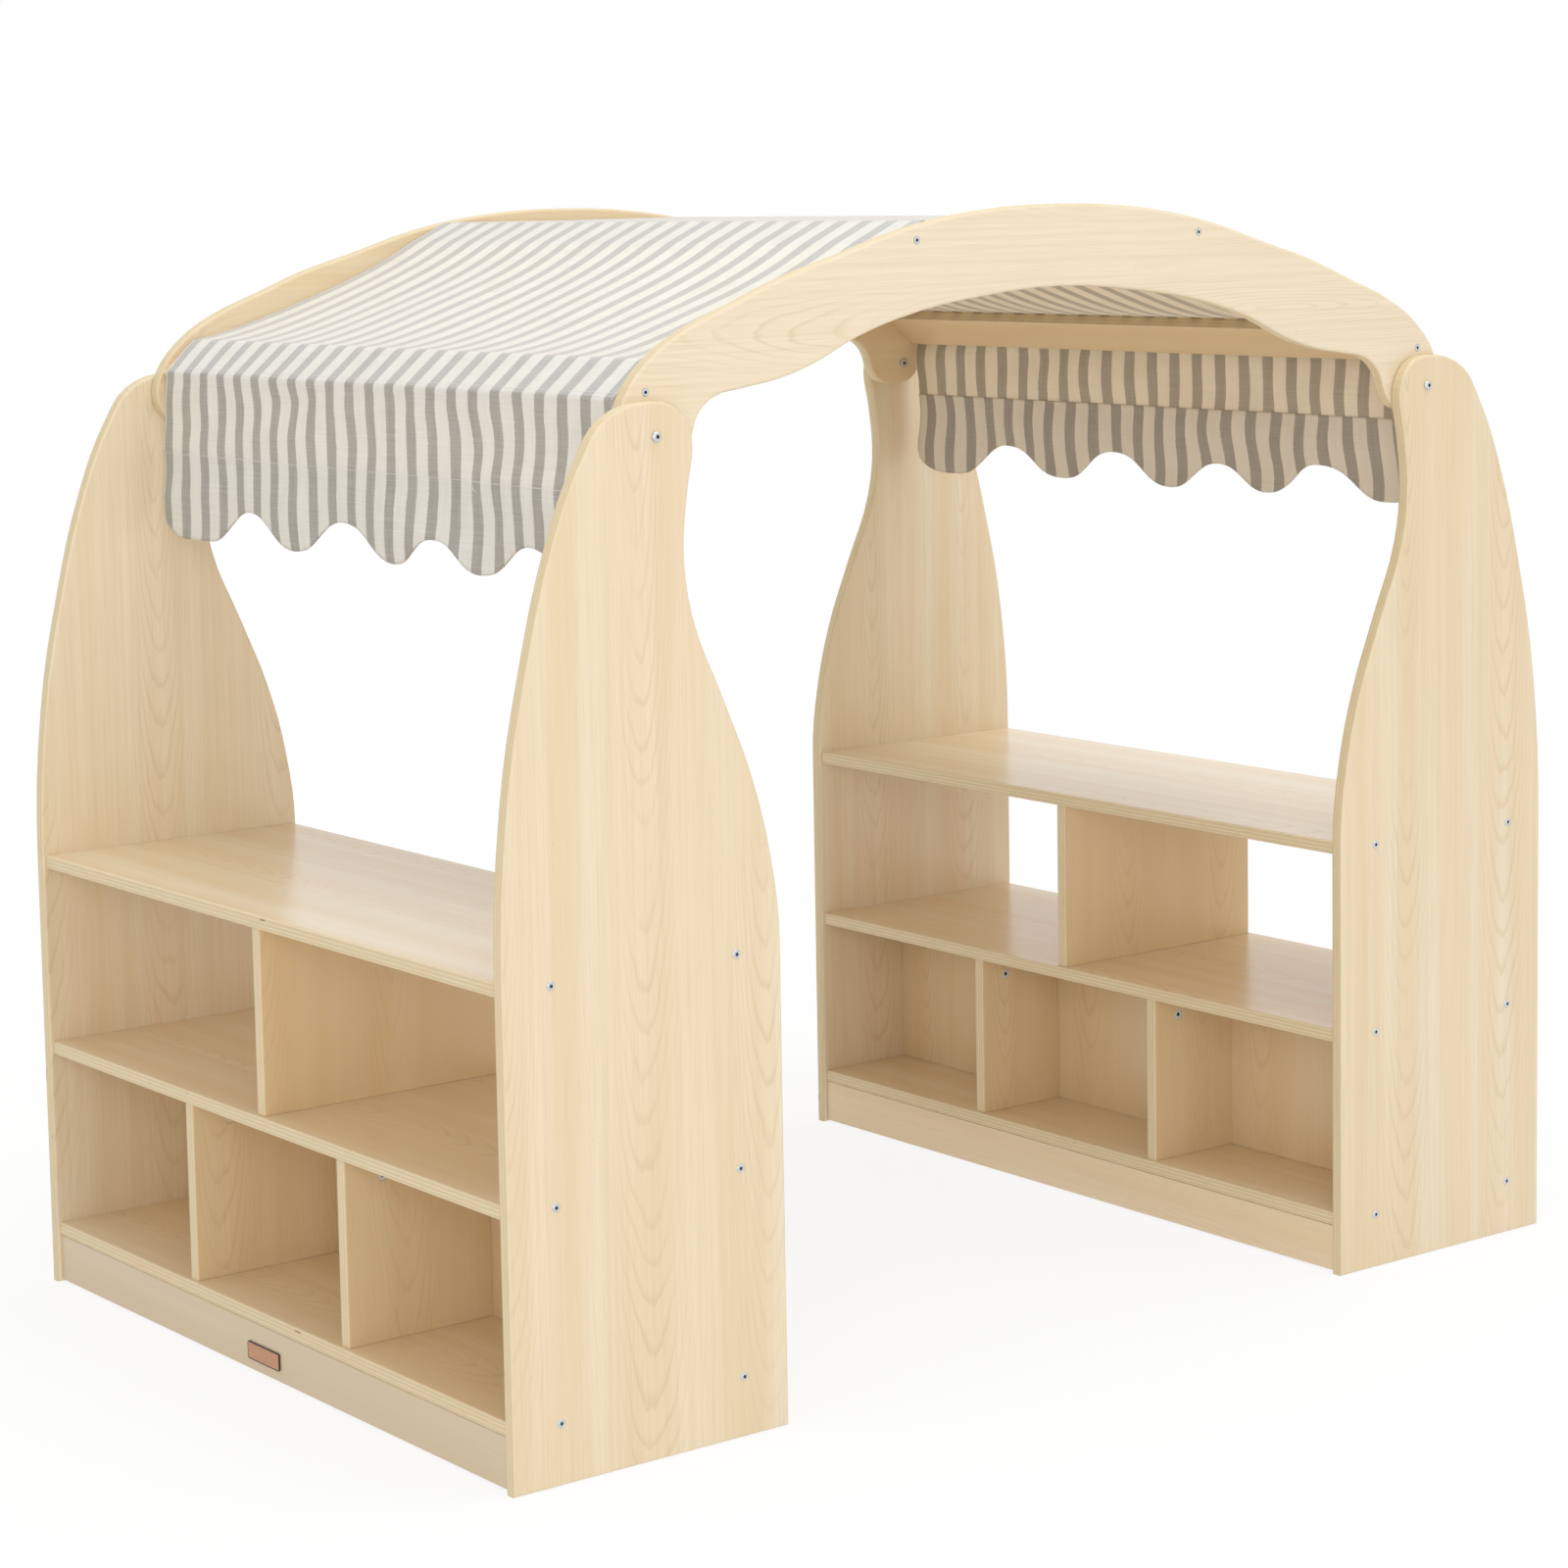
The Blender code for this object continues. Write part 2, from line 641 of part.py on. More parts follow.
def plate():
    """A small bare plate on the outer face of a toe board."""
    middle, height = PLATE_MIDDLE
    face = -UNIT_MIDDLE - HALF_DEPTH + TOE_INSET - CLEAR
    low = (face - PLATE_THICK, from_front(middle - PLATE_LENGTH / 2), height - PLATE_HEIGHT / 2)
    high = (face, from_front(middle + PLATE_LENGTH / 2), height + PLATE_HEIGHT / 2)
    obj = board("blank_plate", low, high, None, edge_round=PLATE_ROUND, along=0)
    obj.data.materials.clear()
    finish(obj, PLATE_BROWN, PLATE_ROUGHNESS)


clear_scene()
PARTS = new_collection("play_grocery_store")
CUTTERS = new_collection("cutters", helper=True)

panels = {side: shelf_unit(side) for side in (-1, 1)}
plate()

whole_arch = [(across * STRETCH, height, run) for across, height, run in ARCH_OUTLINE]
whole_arch += [(-across, height, run) for across, height, run in reversed(whole_arch[1:-1])]
arch_start = BOARD + CLEAR
arches = [
    outlined_board(f"{end}_arch", whole_arch, from_front(start), ARCH_STEPS)
    for end, start in (("front", arch_start), ("back", UNIT_LENGTH - arch_start - BOARD))
]

for side, label in ((-1, "left"), (1, "right")):
    ties = [(kind, place, slat(f"{label}_{kind}_slat", side, place))
            for kind, place in (("end", END_SLAT), ("top", TOP_SLAT))]
    for end, toward_front, arch, panel in zip(("front", "back"), (True, False), arches, panels[side]):
        bolt_and_nut(f"{label}_{end}_bolt", panel, arch, side, toward_front)
        for kind, place, tie in ties:
            slat_screw(f"{label}_{kind}_{end}_screw", arch, tie, side, place, toward_front)

canopy_roof()
valance(-1)
valance(1)

for part in PARTS.objects:
    if part.type == "MESH":
        part.data.shade_smooth()
        part.data.set_sharp_from_angle(angle=math.radians(35))
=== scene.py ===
"""Play grocery store, dressed for its picture: lacquered maple plywood, striped canvas and zinc fasteners.

Lengths are in metres, in the model's own frame: X runs to the right unit, Y to the back and Z up.
"""

import math

import bmesh
import bpy
from mathutils import Matrix, Vector, noise


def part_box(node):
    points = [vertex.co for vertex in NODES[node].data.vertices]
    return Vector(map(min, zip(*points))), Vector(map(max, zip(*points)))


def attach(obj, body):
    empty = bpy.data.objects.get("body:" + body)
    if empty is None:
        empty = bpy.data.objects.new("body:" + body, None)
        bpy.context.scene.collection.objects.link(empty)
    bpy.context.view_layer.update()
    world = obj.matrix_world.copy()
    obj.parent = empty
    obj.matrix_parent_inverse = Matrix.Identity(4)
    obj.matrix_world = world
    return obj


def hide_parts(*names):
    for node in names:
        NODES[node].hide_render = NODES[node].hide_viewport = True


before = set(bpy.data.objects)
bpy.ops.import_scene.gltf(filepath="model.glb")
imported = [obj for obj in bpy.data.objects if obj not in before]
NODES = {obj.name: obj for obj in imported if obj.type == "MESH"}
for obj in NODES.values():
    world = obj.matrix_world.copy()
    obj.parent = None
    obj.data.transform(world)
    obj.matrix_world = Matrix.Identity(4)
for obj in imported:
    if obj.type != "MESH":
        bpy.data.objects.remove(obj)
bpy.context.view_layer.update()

# The two units: the sign of X on their side, and their name.
SIDES = ((-1, "left"), (1, "right"))

# Camera, at the photograph's place and angle: yaw, pitch and roll in degrees, lens and sensor in millimetres.
CAMERA_PLACE = (-3.1795, -4.1159, 1.4994)
CAMERA_ANGLES = (37.525, -6.229, -0.993)
LENS = 86.65
SENSOR = 36.0
SHIFT_UP = -0.12

# Lamps: name, place, size, power and colour. Both are aimed at the store's middle.
LAMPS = (
    ("front lamp", (-3.7, -4.4, 2.0), 2.5, 58, (0.88, 0.93, 1.0)),
    ("top lamp", (0.3, -0.8, 5.2), 3.5, 114, (0.86, 0.94, 1.0)),
)
LAMP_AIM = Vector((0, 0, 0.8))
# The white room: the slightly warm light that it gives, and what the camera sees of it.
ROOM_LIGHT = (0.80, 0.78, 0.75, 1)
WHITE = (1, 1, 1, 1)

# Floor: how far it reaches and lies below the store, how white it is seen near and far from the middle, and
# the share of its light that it gives off by itself, as a lit studio sweep does.
FLOOR_REACH = 12.0
FLOOR_BELOW = 0.0005
FLOOR_FADE = (1.2, 4.0)
FLOOR_WHITENESS = (0.84, 1.0)
FLOOR_GLOW = 0.35

# Boards, as in the solids.
BOARD = 0.018
FACE_VENEER = 0.0006
# Real boards of this kind have eleven or thirteen plies. Seven, so that they show.
PLIES = 7
UNIT_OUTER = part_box("left_front_side_panel")[0].x
UNIT_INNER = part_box("left_front_side_panel")[1].x
PANEL_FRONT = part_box("left_front_side_panel")[0].y

# Slats: distance from the middle, height, slope of the wide face.
SLAT_WIDTH = 0.065
END_SLAT = (0.6465, 1.269, math.radians(40))
TOP_SLAT = (0.2362, 1.4285, math.radians(25))

# Leaves of face veneer: their width, then in shares of it how far the first board's are shifted, and how
# much farther each next board's are.
LEAF = 0.19
LEAF_PHASE = 0.35
LEAF_SHIFT = 0.37
# The pith under each leaf: its place as a share of the leaf, its depth below it, what chance adds to each,
# and how steeply the log's cone runs out of the board.
PITH_PLACE = 0.45
PITH_PLACE_SPREAD = 0.1
PITH_DEPTH = 0.03
PITH_DEPTH_SPREAD = 0.045
CONE_SLOPE = 0.075
# Growth rings: their spacing, how far a slow wobble and a quick tremble bend them, and how much they show.
RING_GAP = 0.0042
WOBBLE_DEPTH = 0.007
TREMBLE_DEPTH = 0.0016
RING_STRENGTH = 0.23
# Sizes of the maple's figure across and along the grain.
RING_WOBBLE = (0.05, 0.2)
RING_TREMBLE = (0.008, 0.05)
CLEAR_PATCH = (0.09, 0.35)
FINE_GRAIN = (0.0013, 0.11)
STREAK = (0.006, 0.5)
BAND = (0.045, 1.6)
FLECK = (0.0011, 0.012)
# Lengths of worn stretches and voids in a ply's cut edge, and the depth over which the veneer turns to core.
PLY_WEAR = 0.03
PLY_VOID = 0.05
VENEER_END = 0.0003
# How far apart the plies lie in the noise, so that each is worn in other places.
PLY_APART = 7.3

# Canvas. The weave is drawn at twice the real thread spacing, so that it shows.
CLOTH = 0.0012
CLOTH_WIDTH = 1.0848
STRIPES = 23
GREY_WIDTH = 0.0215
STRIPE_PITCH = (CLOTH_WIDTH - GREY_WIDTH) / (STRIPES - 1)
THREAD = 0.0011
# Uneven yarns show as streaks of this width and length.
THREAD_STREAK = 0.0016
STREAK_LENGTH = 0.09
# Sizes across and along the cloth of faint clouds, and of neps, the small knots in the yarn.
CLOUD = (0.05, 0.06)
NEP = (0.0022, 0.003)
# A stripe's edge steps by up to this much from thread to thread, changes its step over this much across the
# cloth, and is soft over this share of a pitch.
STRIPE_STEP = 0.0035
STRIPE_STEP_LENGTH = 0.004
STRIPE_SOFT = 0.012
# Shares of the light that comes through the cloth, and of the yarn's warm tone in it.
LIGHT_THROUGH = 0.27
LIGHT_WARMTH = 0.65

# The cloth on its slats: how far it lies off them, how it bends and sags, how much of the sag its front and
# back edges have, and how a ripple changes it.
CLOTH_LIFT = 0.0006
BEND_LEG = 0.004
ROOF_SAG = 0.0155
TOP_SAG = 0.001
SAG_AT_EDGES = 0.88
RIPPLE = (0.16, 0.22)
RIPPLE_SHARE = 0.16

# The hanging cloth: depth of its seam below the bend, and of the hem's notches and lobes below the seam. The
# cloth lies shifted to the left, so that side hangs lower.
SHIFT_LEFT = 0.0065
SEAM_DROP = 0.1015
NOTCH_DROP = 0.073
LOBE_DROP = 0.116
# The hem's outer corners are round over this width and rise by this share of a lobe's depth. Between its
# turning points the hem has this share of a steeper curve.
CORNER_ROUND = 0.065
CORNER_LIFT = 0.85
HEM_STEEPNESS = 0.45

# Its folds: sizes across and down, how strong the small ones are, how far below the bend they are full, how
# far they push the cloth out and aside, and which pattern of noise does each.
WIDE_FOLD = (0.21, 0.078)
SMALL_FOLD = (0.06, 0.05)
SMALL_FOLD_SHARE = 0.22
FOLDS_BEGIN = 0.03
FOLD_OUT = 0.0085
FOLD_ASIDE = 0.0075
OUT_PATTERN = 2.0
ASIDE_PATTERN = 9.0
# Between its two rows of stitches it is hollow. Below them it flares, with a wave along its width.
HOLLOW = 0.002
FLARE = 0.002
FLARE_RUN = 0.1
FLARE_WAVE = 0.003
FLARE_WAVE_LENGTH = 0.31

# The left bend's back end is drawn in a little: how far, and how much of the cloth around it moves along.
DRAWN_IN = 0.011
DRAWN_WIDTH = 0.28
DRAWN_REACH = 0.035

# The facing behind the hanging cloth: how far above the seam it starts, its stripes' shift, gap and bulge.
FACING_ABOVE_SEAM = 0.004
FACING_STRIPE_SHIFT = 0.017
FACING_GAP = 0.0003
FACING_BULGE = 0.0009

# The cloth's mesh: the width, number and places of its columns, the spacing of the roof's rows, the rows from
# the bend down to the seam, and how many there are from the seam to the hem.
COLUMN = 0.005
COLUMNS = round(CLOTH_WIDTH / COLUMN)
ACROSS = [CLOTH_WIDTH * step / COLUMNS for step in range(COLUMNS + 1)]
ROOF_ROW = 0.012
HANGING_ROWS = [0.003, 0.008, 0.0135]
HANGING_ROWS += [0.02 + step * 0.0065 for step in range(12)]
HANGING_ROWS += [SEAM_DROP - 0.003, SEAM_DROP]
HEM_ROWS = 18

# The hem's turning points along the cloth's width: place, and how far down, from 0 at a notch to 1 at a lobe.
HEM_TURNS = {
    -1: (
        (0.0, 1.0), (0.062, 1.0), (0.177, 0.0), (0.290, 0.96), (0.393, 0.09), (0.484, 0.95),
        (0.612, -0.09), (0.738, 0.96), (0.853, -0.06), (0.968, 1.0), (CLOTH_WIDTH, 1.0),
    ),
    1: (
        (0.0, 0.94), (0.076, 0.94), (0.198, -0.14), (0.309, 0.94), (0.407, 0.06), (0.501, 0.98),
        (0.631, -0.1), (0.740, 0.94), (0.872, -0.08), (0.990, 1.07), (CLOTH_WIDTH, 1.07),
    ),
}

# Sewing. The rows along the cut edges end at this share of the way from the seam to the hem.
STITCH = 0.0034
STITCH_GAP = 0.0012
THREAD_THICK = 0.0007
THREAD_SIDES = 6
BEND_STITCH_ABOVE = 0.012
EDGE_STITCH_IN = 0.004
EDGE_STITCH_END = 0.96

# Loose thread ends: place across the cloth, its side and way below the bend, lengths across and down.
LOOSE_ENDS = (
    (CLOTH_WIDTH - 0.002, -1, -0.016, 0.009, -0.004),
    (CLOTH_WIDTH - 0.001, -1, -0.006, 0.007, 0.006),
    (CLOTH_WIDTH - 0.001, -1, SEAM_DROP, 0.006, 0.010),
    (0.305, -1, SEAM_DROP + 0.012, -0.008, 0.009),
    (0.002, 1, SEAM_DROP, -0.006, 0.011),
    (0.41, 1, SEAM_DROP + 0.011, 0.007, 0.010),
)
LOOSE_END_PIECES = 5
LOOSE_END_CURL = 0.004

# The screws in the side panels: distance from the panel's edge, and heights.
PANEL_SCREW_IN = 0.067
PANEL_SCREW_HEIGHTS = (0.075, 0.331, 0.591)

# The one cam that the photograph doesn't show. Here it lies under a maple-toned cap.
CAPPED_CAM = "left_outer_back_cam"

# Width of the painted shade round the small plate's edge, drawn as a dark line.
PLATE_SHADE_LINE = 0.0018

# Turned fasteners: their steps around, and the angle from which an edge stays sharp. Then ring by ring the
# radius, the height out of the board, and whether the ring has six sides.
TURN_STEPS = 36
SHARP_ANGLE = math.radians(40)
PANEL_SCREW_RINGS = (
    (0.0050, 0.0, False),
    (0.0055, 0.0, False),
    (0.0055, 0.0005, False),
    (0.0052, 0.0009, False),
    (0.0043, 0.0012, False),
    (0.0030, 0.0013, False),
    (0.0025, 0.0013, True),
    (0.0023, 0.0011, True),
    (0.0023, 0.0002, True),
)
BOLT_RINGS = (
    (0.0030, -0.037, False),
    (0.0030, 0.0, False),
    (0.0063, 0.0002, False),
    (0.0063, 0.0009, False),
    (0.0060, 0.0019, False),
    (0.0052, 0.0028, False),
    (0.0040, 0.0034, False),
    (0.0030, 0.0036, False),
    (0.0026, 0.0036, True),
    (0.0024, 0.0033, True),
    (0.0024, 0.0014, True),
)
NUT_RINGS = (
    (0.0070, 0.0, False),
    (0.0070, 0.0037, False),
    (0.0068, 0.0042, False),
    (0.0061, 0.0045, False),
    (0.0032, 0.0045, False),
    (0.0028, 0.0045, True),
    (0.0026, 0.0043, True),
    (0.0026, 0.0025, True),
)
SLAT_SCREW_RINGS = (
    (0.0020, -0.042, False),
    (0.0020, -0.0035, False),
    (0.0047, -0.0003, False),
    (0.0047, 0.0, False),
    (0.0044, 0.0002, False),
    (0.0026, 0.0002, False),
    (0.0022, 0.0001, True),
    (0.0020, -0.0002, True),
    (0.0020, -0.0022, True),
)
CAM_RINGS = (
    (0.0072, -0.012, False),
    (0.0072, -0.0006, False),
    (0.0070, -0.0001, False),
    (0.0065, 0.0, False),
    (0.0036, 0.0, False),
    (0.0031, -0.0001, True),
    (0.0028, -0.0004, True),
    (0.0028, -0.0026, True),
)
CAP_RINGS = (
    (0.0072, -0.012, False),
    (0.0072, -0.0004, False),
    (0.0068, 0.0, False),
    (0.0030, 0.0002, False),
)

# By the end of a board's name: the axis of its grain, and the share and colour of a tone mixed into its
# veneer. The golden shares are painted warm bounce light: the light bounced between the boards, painted into
# the dividers, back panels, shelves, toe boards, slats and back arch, whose faces lie in shade. The front
# arch is made a little paler, and the left outer toe board greyer and darker.
PAINTED_BOUNCE_GOLD = "#DCB476"
BOARD_KINDS = (
    ("back_arch", 0, (0.25, PAINTED_BOUNCE_GOLD)),
    ("front_arch", 0, (0.75, "#EDDEC4")),
    ("side_panel", 2, (0.0, PAINTED_BOUNCE_GOLD)),
    ("upper_divider", 2, (0.55, PAINTED_BOUNCE_GOLD)),
    ("divider", 2, (0.35, PAINTED_BOUNCE_GOLD)),
    ("back_panel", 2, (0.3, PAINTED_BOUNCE_GOLD)),
    ("shelf", 1, (0.15, PAINTED_BOUNCE_GOLD)),
    ("counter_top", 1, (0.0, PAINTED_BOUNCE_GOLD)),
    ("left_outer_toe_board", 1, (0.6, "#B9AA8D")),
    ("toe_board", 1, (0.15, PAINTED_BOUNCE_GOLD)),
    ("slat", 1, (0.5, PAINTED_BOUNCE_GOLD)),
)

# Settings that many nodes share: a mix of two colours, and a ramp that eases in and out.
COLOURS = {"data_type": "RGBA", "out": 2}
SMOOTH = {"interpolation_type": "SMOOTHSTEP"}


def linear(hex_colour):
    """An sRGB hex colour as linear red, green, blue and alpha."""
    values = [int(hex_colour[place : place + 2], 16) / 255 for place in (1, 3, 5)]
    return (*(v / 12.92 if v <= 0.04045 else ((v + 0.055) / 1.055) ** 2.4 for v in values), 1.0)


def smooth_step(value):
    """Eases from 0 to 1."""
    held = min(max(value, 0.0), 1.0)
    return held * held * (3 - 2 * held)


def add_object(name, data):
    """Puts a mesh, a lamp or a camera into the scene as an object."""
    obj = bpy.data.objects.new(name, data)
    bpy.context.scene.collection.objects.link(obj)
    return obj


def new_material(name):
    """An empty node material."""
    material = bpy.data.materials.new(name)
    material.use_nodes = True
    material.node_tree.nodes.clear()
    return material, material.node_tree


def node(tree, kind, *values, named=None, out=0, **settings):
    """Adds a shader node and gives one of its outputs. Values and other nodes' outputs go into its sockets
    in order, or by the socket's name or number."""
    made = tree.nodes.new("ShaderNode" + kind)
    for name, value in settings.items():
        setattr(made, name, value)
    for where, value in (*enumerate(values), *(named or {}).items()):
        if isinstance(value, bpy.types.NodeSocket):
            tree.links.new(value, made.inputs[where])
        else:
            made.inputs[where].default_value = value
    return made.outputs[out]


def node_output(tree, shader):
    """Ends a material with its surface shader."""
    end = tree.nodes.new("ShaderNodeOutputMaterial")
    tree.links.new(shader, end.inputs[0])


def growth_lines(tree, grain, wide, long, seed):
    """How strongly a growth line shows, from 0 to 1: nested arches over the pith of each leaf of veneer. They
    fade towards the leaf's sides and in patches along it."""
    leaf_place = node(tree, "Math", wide, 1 / LEAF, seed * LEAF_SHIFT + LEAF_PHASE, operation="MULTIPLY_ADD")
    leaf = node(tree, "Math", leaf_place, operation="FLOOR")
    leaf_seed = node(tree, "Math", leaf, seed, operation="ADD")
    chance = node(tree, "TexWhiteNoise", named={"W": leaf_seed}, noise_dimensions="1D")
    pith_place = node(tree, "Math", chance, PITH_PLACE_SPREAD, PITH_PLACE, operation="MULTIPLY_ADD")
    pith_depth = node(tree, "Math", chance, PITH_DEPTH_SPREAD, PITH_DEPTH, operation="MULTIPLY_ADD")

    in_leaf = node(tree, "Math", leaf_place, operation="FRACT")
    off_pith = node(tree, "Math", in_leaf, pith_place, operation="SUBTRACT")
    beside = node(tree, "Math", off_pith, LEAF, operation="MULTIPLY")
    below = node(tree, "Math", long, -CONE_SLOPE, pith_depth, operation="MULTIPLY_ADD")
    to_pith = node(tree, "CombineXYZ", beside, below, 0.0)
    straight = node(tree, "VectorMath", to_pith, operation="LENGTH", out="Value")
    wobble = grain(RING_WOBBLE, 3.0)
    tremble = grain(RING_TREMBLE, 4.0)
    wobbled = node(tree, "Math", wobble, WOBBLE_DEPTH, straight, operation="MULTIPLY_ADD")
    radius = node(tree, "Math", tremble, TREMBLE_DEPTH, wobbled, operation="MULTIPLY_ADD")

    # Each line darkens slowly towards the end of its year and then ends at once.
    years = node(tree, "Math", radius, RING_GAP, operation="DIVIDE")
    season = node(tree, "Math", years, operation="FRACT")
    rise = node(tree, "MapRange", season, 0.62, 0.9, **SMOOTH)
    fall = node(tree, "MapRange", season, 0.92, 1.0, 1.0, 0.0, **SMOOTH)
    line = node(tree, "Math", rise, fall, operation="MULTIPLY")

    clear = node(tree, "MapRange", grain(CLEAR_PATCH, 5.0), 0.32, 0.62, 0.1, 1.0, **SMOOTH)
    from_pith = node(tree, "Math", beside, operation="ABSOLUTE")
    central = node(tree, "MapRange", from_pith, 0.015, 0.06, 1.0, 0.2, **SMOOTH)
    shown = node(tree, "Math", clear, central, operation="MULTIPLY")
    return node(tree, "Math", line, shown, operation="MULTIPLY")


def veneer_colour(tree, grain, fine, ring, toned):
    """The face: cream and beige bands, pinkish ones, then the board's mixed-in tone, which on most boards is
    painted warm bounce light, then streaks, growth lines, fine dark hairs and a few flecks."""
    band = node(tree, "MapRange", grain(BAND, 13.0), 0.3, 0.7, **SMOOTH)
    blush = node(tree, "MapRange", grain(BAND, 17.0), 0.45, 0.7, 0.0, 0.65, **SMOOTH)
    streak = node(tree, "MapRange", grain(STREAK, 11.0, 2.0), 0.35, 0.75, 0.0, 0.3, **SMOOTH)
    ring_share = node(tree, "Math", ring, RING_STRENGTH, operation="MULTIPLY")
    hair = node(tree, "MapRange", fine, 0.45, 0.75, 0.0, 0.25, **SMOOTH)
    fleck = node(tree, "MapRange", grain(FLECK, 19.0), 0.73, 0.8, 0.0, 0.3, **SMOOTH)

    face = node(tree, "Mix", band, named={6: linear("#EADBBE"), 7: linear("#E5D0AC")}, **COLOURS)
    for share, colour in (
        (blush, "#E8CFAE"),
        # Painted warm bounce light on most boards.
        toned,
        (streak, "#DAC3A0"),
        (ring_share, "#BF9F74"),
        (hair, "#D0B68D"),
        (fleck, "#A67C4C"),
    ):
        face = node(tree, "Mix", share, named={6: face, 7: linear(colour)}, **COLOURS)
    return face


def core_colour(tree, depth, long, thickness, seed):
    """The core's plies in a cut edge, with worn stretches, darker glue lines and a few voids. Every second
    ply shows its end grain, and the second output is 1 there."""
    plies = 2 * round((PLIES * thickness / BOARD - 1) / 2) + 1
    layers = node(tree, "Math", depth, plies / thickness, plies / 2, operation="MULTIPLY_ADD")
    layer = node(tree, "Math", layers, operation="FLOOR")
    in_layer = node(tree, "Math", layers, operation="FRACT")
    end_grain = node(tree, "Math", layer, 2.0, operation="MODULO")
    off_middle = node(tree, "Math", in_layer, 0.5, operation="SUBTRACT")
    to_glue = node(tree, "Math", off_middle, operation="ABSOLUTE")
    glue = node(tree, "MapRange", to_glue, 0.34, 0.5, 0.0, 0.34, **SMOOTH)
    by_layer = node(tree, "CombineXYZ", layer, long, seed)

    def along_ply(size, detail=1.0):
        """Noise that runs along the edge of each ply, and is another in the next one."""
        spread = node(tree, "VectorMath", by_layer, (PLY_APART, 1 / size, 1.0), operation="MULTIPLY")
        return node(tree, "TexNoise", named={"Vector": spread, "Scale": 1.0, "Detail": detail})

    worn = node(tree, "MapRange", along_ply(PLY_WEAR, 3.0), 0.35, 0.8, 0.0, 0.4, **SMOOTH)
    gap = node(tree, "MapRange", along_ply(PLY_VOID), 0.73, 0.76, **SMOOTH)
    void = node(tree, "Math", end_grain, gap, operation="MULTIPLY")
    void_share = node(tree, "Math", void, 0.7, operation="MULTIPLY")
    core = node(tree, "Mix", end_grain, named={6: linear("#E0D0AE"), 7: linear("#D5C198")}, **COLOURS)
    for share, colour in ((worn, "#D3B88C"), (glue, "#B2905F"), (void_share, "#7A5A36")):
        core = node(tree, "Mix", share, named={6: core, 7: linear(colour)}, **COLOURS)
    return core, end_grain


def maple_plywood(name, centre, along, across, thick, thickness, seed, toned):
    """Maple plywood: sliced maple over a birch core, sanded and sprayed with clear satin lacquer. That gives
    pale cream and pinkish bands, nested arches of thin growth lines, fine straight grain, a few flecks and a
    broad soft gloss. Wherever an edge or a rounding cuts deeper than the face, the core's plies show.
    The last argument is the share and colour of a tone mixed into the veneer: on most boards painted warm
    bounce light, which stands in for light bounced between the boards in shade."""
    material, tree = new_material(name)
    place = node(tree, "TexCoord", out="Object")
    off_centre = node(tree, "VectorMath", place, centre, operation="SUBTRACT")
    wide = node(tree, "VectorMath", off_centre, across, operation="DOT_PRODUCT", out="Value")
    long = node(tree, "VectorMath", off_centre, along, operation="DOT_PRODUCT", out="Value")
    depth = node(tree, "VectorMath", off_centre, thick, operation="DOT_PRODUCT", out="Value")
    board = node(tree, "CombineXYZ", wide, long, 1.0)

    def grain(size, shift, detail=1.0):
        """Noise stretched along the grain."""
        scale = (1 / size[0], 1 / size[1], seed + shift)
        spread = node(tree, "VectorMath", board, scale, operation="MULTIPLY")
        return node(tree, "TexNoise", named={"Vector": spread, "Scale": 1.0, "Detail": detail})

    fine = grain(FINE_GRAIN, 7.0, 3.0)
    ring = growth_lines(tree, grain, wide, long, seed)
    face = veneer_colour(tree, grain, fine, ring, toned)
    core, end_grain = core_colour(tree, depth, long, thickness, seed)

    off_middle = node(tree, "Math", depth, operation="ABSOLUTE")
    cut = node(tree, "Math", thickness / 2 - FACE_VENEER, off_middle, operation="SUBTRACT")
    in_core = node(tree, "MapRange", cut, 0.0, VENEER_END, **SMOOTH)
    colour = node(tree, "Mix", in_core, named={6: face, 7: core}, **COLOURS)

    # The cut edge is duller than the face, and its end grain takes the lacquer in and lies a little lower.
    satin = node(tree, "MapRange", fine, 0.3, 0.8, 0.23, 0.26, **SMOOTH)
    rough = node(tree, "Math", in_core, 0.2, satin, operation="MULTIPLY_ADD")
    open_grain = node(tree, "Math", in_core, end_grain, operation="MULTIPLY")
    lines = node(tree, "Math", ring, 0.3, fine, operation="MULTIPLY_ADD")
    relief = node(tree, "Math", open_grain, -0.6, lines, operation="MULTIPLY_ADD")
    bump = node(tree, "Bump", named={"Strength": 0.05, "Distance": 0.00004, "Height": relief})
    lacquered = {"Base Color": colour, "Roughness": rough, "IOR": 1.5, "Normal": bump}
    node_output(tree, node(tree, "BsdfPrincipled", named=lacquered))
    return material


def stripes(tree, threads, across):
    """1 on the grey stripes and 0 between them. Their edges step from thread to thread."""
    uneven = threads(STRIPE_STEP_LENGTH, THREAD, 3.0)
    stepped = node(tree, "Math", uneven, STRIPE_STEP, across, operation="MULTIPLY_ADD")
    pitches = node(tree, "Math", stepped, STRIPE_PITCH, operation="DIVIDE")
    turn = node(tree, "Math", pitches, operation="FRACT")
    half_grey = GREY_WIDTH / STRIPE_PITCH / 2
    off_middle = node(tree, "Math", turn, half_grey, operation="SUBTRACT")
    beside = node(tree, "Math", off_middle, operation="ABSOLUTE")
    around = node(tree, "Math", 1.0, beside, operation="SUBTRACT")
    from_middle = node(tree, "Math", beside, around, operation="MINIMUM")
    edge = (half_grey - STRIPE_SOFT, half_grey + STRIPE_SOFT)
    return node(tree, "MapRange", from_middle, *edge, 1.0, 0.0, **SMOOTH)


